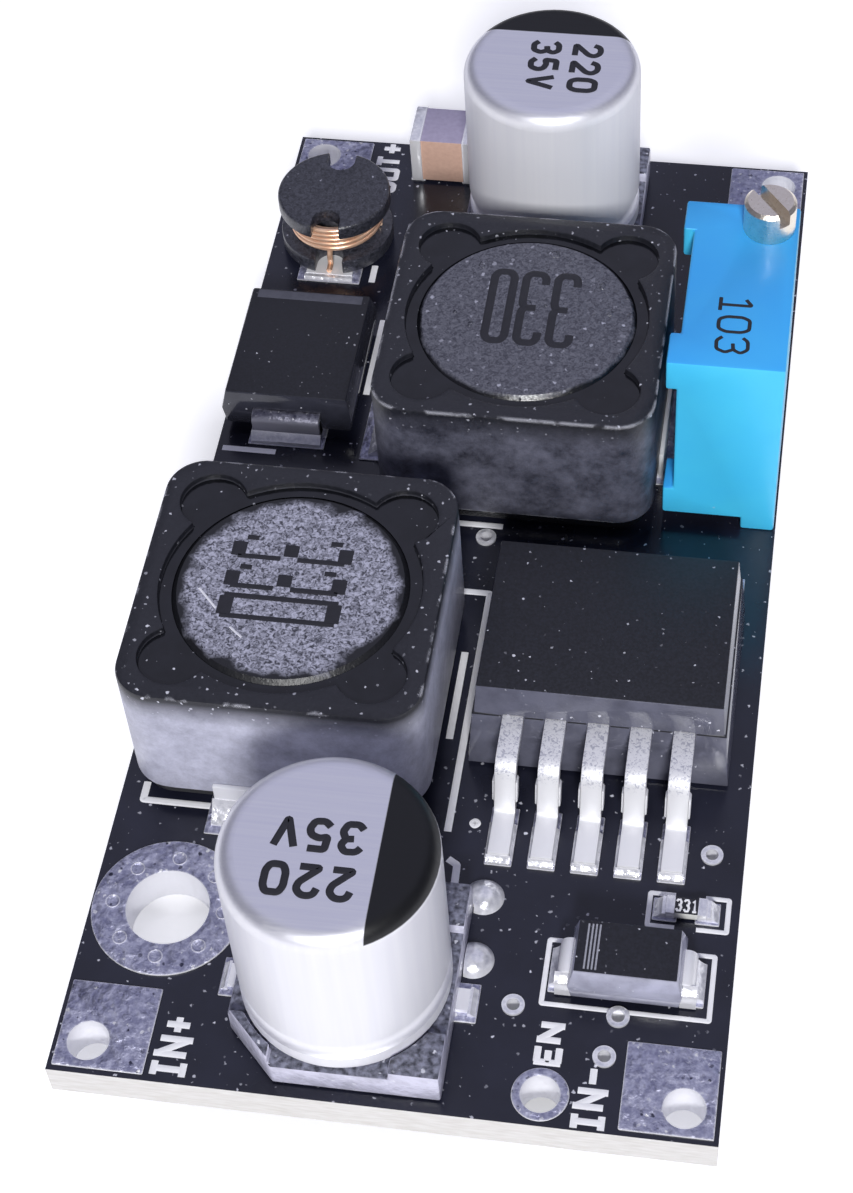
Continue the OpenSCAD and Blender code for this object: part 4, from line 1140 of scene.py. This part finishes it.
# %% Screen print lines
BOARD_TOP_MM = 2.6
SCREEN_LINES = [
    [(-11.6, -12.8), (-11.6, -13.65), (-8.7, -13.65)],
    [(-0.6, -1.7), (0.8, -1.7), (0.8, -13.7)],
    [(0.2, -4.9), (0.2, -9.3)],
    [(-1.1, 2.0), (0.84, 2.0)],
    [(-6.42, 9.0), (-6.42, 13.7)],
    [(-7.4, 16.1), (-7.4, 17.2)],
    [(-12.3, 5.15), (-9.87, 5.15)],
    [(1.01, -14.95), (1.4, -15.18), (1.44, -16.23)],
    [(1.73, -13.2), (1.83, -13.1), (1.93, -13.2), (1.83, -13.3), (1.73, -13.2)],
]
FRAME_LINES = [
    [(6.26, -18.05), (5.45, -18.05), (5.45, -20.8), (11.77, -20.8), (11.77, -18.05), (10.82, -18.05)],
    [(10.04, -15.52), (9.06, -15.52), (9.06, -16.96), (10.1, -16.96)],
    [(11.2, -15.52), (12.11, -15.52), (12.11, -16.96), (10.94, -16.96)],
]
ink("screen_print_lines", SCREEN_LINES, white_ink, BOARD_TOP_MM, width=0.3, corner=0.04)
ink("screen_print_frames", FRAME_LINES, white_ink, BOARD_TOP_MM, width=0.2, corner=0.04)

# %% [markdown]
# Letters and figures are drawn with the same pen. Each is given once, as strokes in a cell one wide and
# one high, and then stretched, turned and set in a row. Only plain markings are used: terminal names and
# number codes.

# %% Letters and figures
OVAL = [
    (0.5, 0), (0.82, 0.02), (1, 0.25), (1, 0.75), (0.82, 0.98), (0.18, 0.98), (0, 0.75), (0, 0.25),
    (0.18, 0.02), (0.5, 0),
]
GLYPHS = {
    "0": [OVAL],
    "1": [[(0.15, 0.8), (0.55, 1), (0.55, 0)], [(0.1, 0), (0.95, 0)]],
    "2": [[(0, 0.72), (0.12, 0.93), (0.4, 1), (0.75, 0.97), (1, 0.78), (0.92, 0.55), (0, 0), (1, 0)]],
    "3": [[(0, 0.82), (0.2, 0.98), (0.75, 1), (1, 0.78), (0.8, 0.55), (0.4, 0.52)],
          [(0.8, 0.54), (1, 0.3), (0.8, 0.02), (0.25, 0), (0, 0.17)]],
    "5": [[(0.95, 1), (0.12, 1), (0.06, 0.54), (0.45, 0.62), (0.88, 0.52), (1, 0.3), (0.8, 0.03),
           (0.3, 0), (0, 0.17)]],
    "E": [[(0, -0.13), (0, 1.13)], [(0, 0), (1, 0)], [(0, 1), (1, 1)], [(0, 0.5), (0.8, 0.5)]],
    "I": [[(0.5, 0), (0.5, 1)], [(0.05, 0), (0.95, 0)], [(0.05, 1), (0.95, 1)]],
    "N": [[(0, 0), (0, 1.13)], [(0, 1), (1, 0)], [(1, -0.13), (1, 1)]],
    "O": [OVAL],
    "T": [[(0, 1), (1, 1)], [(0.5, 1), (0.5, 0)]],
    "U": [[(0, 1), (0, 0), (1, 0), (1, 1)]],
    "V": [[(0, 1), (0.5, 0), (1, 1)]],
    "+": [[(0, 0.5), (1, 0.5)], [(0.5, 0.1), (0.5, 0.9)]],
    "-": [[(0, 0.5), (1, 0.5)]],
}


def at(middle, turn_deg, offset):
    cos, sin = math.cos(math.radians(turn_deg)), math.sin(math.radians(turn_deg))
    x, y = offset
    return (middle[0] + x * cos - y * sin, middle[1] + x * sin + y * cos)


def lettering(text, middle, cell, gap, turn_deg, glyphs=GLYPHS):
    wide, high = cell
    start = -(len(text) * wide + (len(text) - 1) * gap) / 2
    strokes = []
    for i, glyph in enumerate(text):
        left = start + i * (wide + gap)
        for stroke in glyphs[glyph]:
            strokes.append([
                at(middle, turn_deg, (left + u * wide, (v - 0.5) * high)) for u, v in stroke
            ])
    return strokes


print("glyphs:", "".join(GLYPHS))

# %% [markdown]
# The terminal names stand beside the pads in the board's white ink. They are read from the board's right
# side, and differ only in place and height.

# %% Terminal names
# Name, middle and height of the letters, in millimetres
TERMINALS = [
    ("IN+", (-7.97, -24.3), 1.1),
    ("IN-", (7.75, -24.5), 1.0),
    ("EN", (5.98, -22.45), 0.8),
    ("OUT+", (-7.93, 24.0), 1.0),
]
NAME_WIDE_MM = 0.62
NAME_GAP_MM = 0.3
NAME_TURN_DEG = 90

terminal_names = []
for text, middle, high in TERMINALS:
    terminal_names += lettering(text, middle, (NAME_WIDE_MM, high), NAME_GAP_MM, NAME_TURN_DEG)
ink("screen_print_names", terminal_names, white_ink, BOARD_TOP_MM, width=0.27, corner=0.08)

# %% [markdown]
# The cans carry their capacitance and voltage in two rows, stamped in black. The stamp is the same on
# both cans, turned to suit the minus mark.

# %% Ratings on the cans
CAN_TOP_MM = 12.96
RATING_ROWS = (("220", (0.38, 1.55)), ("35V", (0.32, -0.35)))
RATING_CELL_MM = (0.72, 1.15)
RATING_GAP_MM = 0.45

for part, turn_deg in (("input", 180), ("output", 270)):
    middle = middle_of(part + "_capacitor_can")
    rating = []
    for text, offset in RATING_ROWS:
        rating += lettering(text, at(middle, turn_deg, offset), RATING_CELL_MM, RATING_GAP_MM, turn_deg)
    ink(part + "_capacitor_rating", rating, black_ink, CAN_TOP_MM, width=0.28, corner=0.1)

# %% [markdown]
# The coils carry a three-figure code. The stamp for the front coil has thin sides and thick ends, so
# each of its figures is two pieces of ink, and two pale scratches lie beside them. The rear coil has
# rounder figures.

# %% Codes on the coils
CORE_TOP_MM = 9.65
CODE_SIDES = {
    "0": [[(0, -0.03), (0, 1.03)], [(1, -0.03), (1, 1.03)]],
    "3": [[(1, 0), (1, 0.4)], [(1, 0.56), (1, 1)], [(0.05, 0.84), (0.05, 0.95)],
          [(0.05, 0.05), (0.05, 0.16)]],
}
CODE_ENDS = {
    "0": [[(0.05, 0), (0.95, 0)], [(0.05, 1), (0.95, 1)]],
    "3": [[(0.3, 0), (1, 0)], [(0.3, 0.49), (0.88, 0.49)], [(0.3, 1), (1, 1)]],
}
CODE_ROUND = {
    "0": [[(0.5, 0), (0.8, 0), (1, 0.07), (1, 0.93), (0.8, 1), (0.2, 1), (0, 0.93), (0, 0.07),
           (0.2, 0), (0.5, 0)]],
    "3": [[(0, 0.85), (0, 0.94), (0.2, 1), (0.8, 1), (1, 0.94), (1, 0.56), (0.85, 0.5), (0.3, 0.5)],
          [(0.85, 0.5), (1, 0.44), (1, 0.06), (0.8, 0), (0.2, 0), (0, 0.06), (0, 0.15)]],
}
FRONT_CODE = {"middle": (-6.27, -7.3), "cell": (1.0, 4.3), "gap": 0.5, "turn_deg": -90}
REAR_CODE = {"middle": (1.4, 8.45), "cell": (0.86, 4.1), "gap": 0.52, "turn_deg": 180}
SCRATCHES = [[(-9.6, -8.1), (-8.75, -9.0)], [(-8.0, -9.85), (-7.45, -10.3)]]

front_sides = lettering("330", **FRONT_CODE, glyphs=CODE_SIDES)
front_ends = lettering("330", **FRONT_CODE, glyphs=CODE_ENDS)
rear_code = lettering("330", **REAR_CODE, glyphs=CODE_ROUND)
ink("front_coil_code", front_sides, black_ink, CORE_TOP_MM, width=0.24)
ink("front_coil_code_ends", front_ends, black_ink, CORE_TOP_MM, width=0.58)
ink("rear_coil_code", rear_code, black_ink, CORE_TOP_MM, width=0.36, corner=0.12)
ink("front_coil_scratches", SCRATCHES, scratch_pale, CORE_TOP_MM, width=0.1)

# %% [markdown]
# The trimmer has a three-figure code too, the chip resistor its value in white. A diode marks its
# cathode: the small one with four laser lines, the large one with a printed band. Each mark lies on the
# top of its part.

# %% Marks on the small parts
TRIMMER_TOP_MM = 12.7
RESISTOR_TOP_MM = 3.11
DIODE_TOP_MM = 4.75
RECTIFIER_TOP_MM = 4.95
CATHODE_LINES = [[(x, -20.35), (x, -18.42)] for x in (7.02, 7.17, 7.31, 7.45)]
CATHODE_BAND = [[(-11.9, 12.6), (-7.05, 12.6)]]

trimmer_code = lettering("103", middle=(10.2, 5.45), cell=(0.85, 1.3), gap=0.3, turn_deg=-90)
resistor_code = lettering("331", middle=(10.51, -16.24), cell=(0.18, 0.5), gap=0.12, turn_deg=0)
ink("trimmer_code", trimmer_code, black_ink, TRIMMER_TOP_MM, width=0.16, corner=0.1)
ink("chip_resistor_code", resistor_code, white_ink, RESISTOR_TOP_MM, width=0.1)
ink("small_diode_mark", CATHODE_LINES, laser_grey, DIODE_TOP_MM, width=0.07)
ink("rectifier_mark", CATHODE_BAND, band_grey, RECTIFIER_TOP_MM, width=0.5)
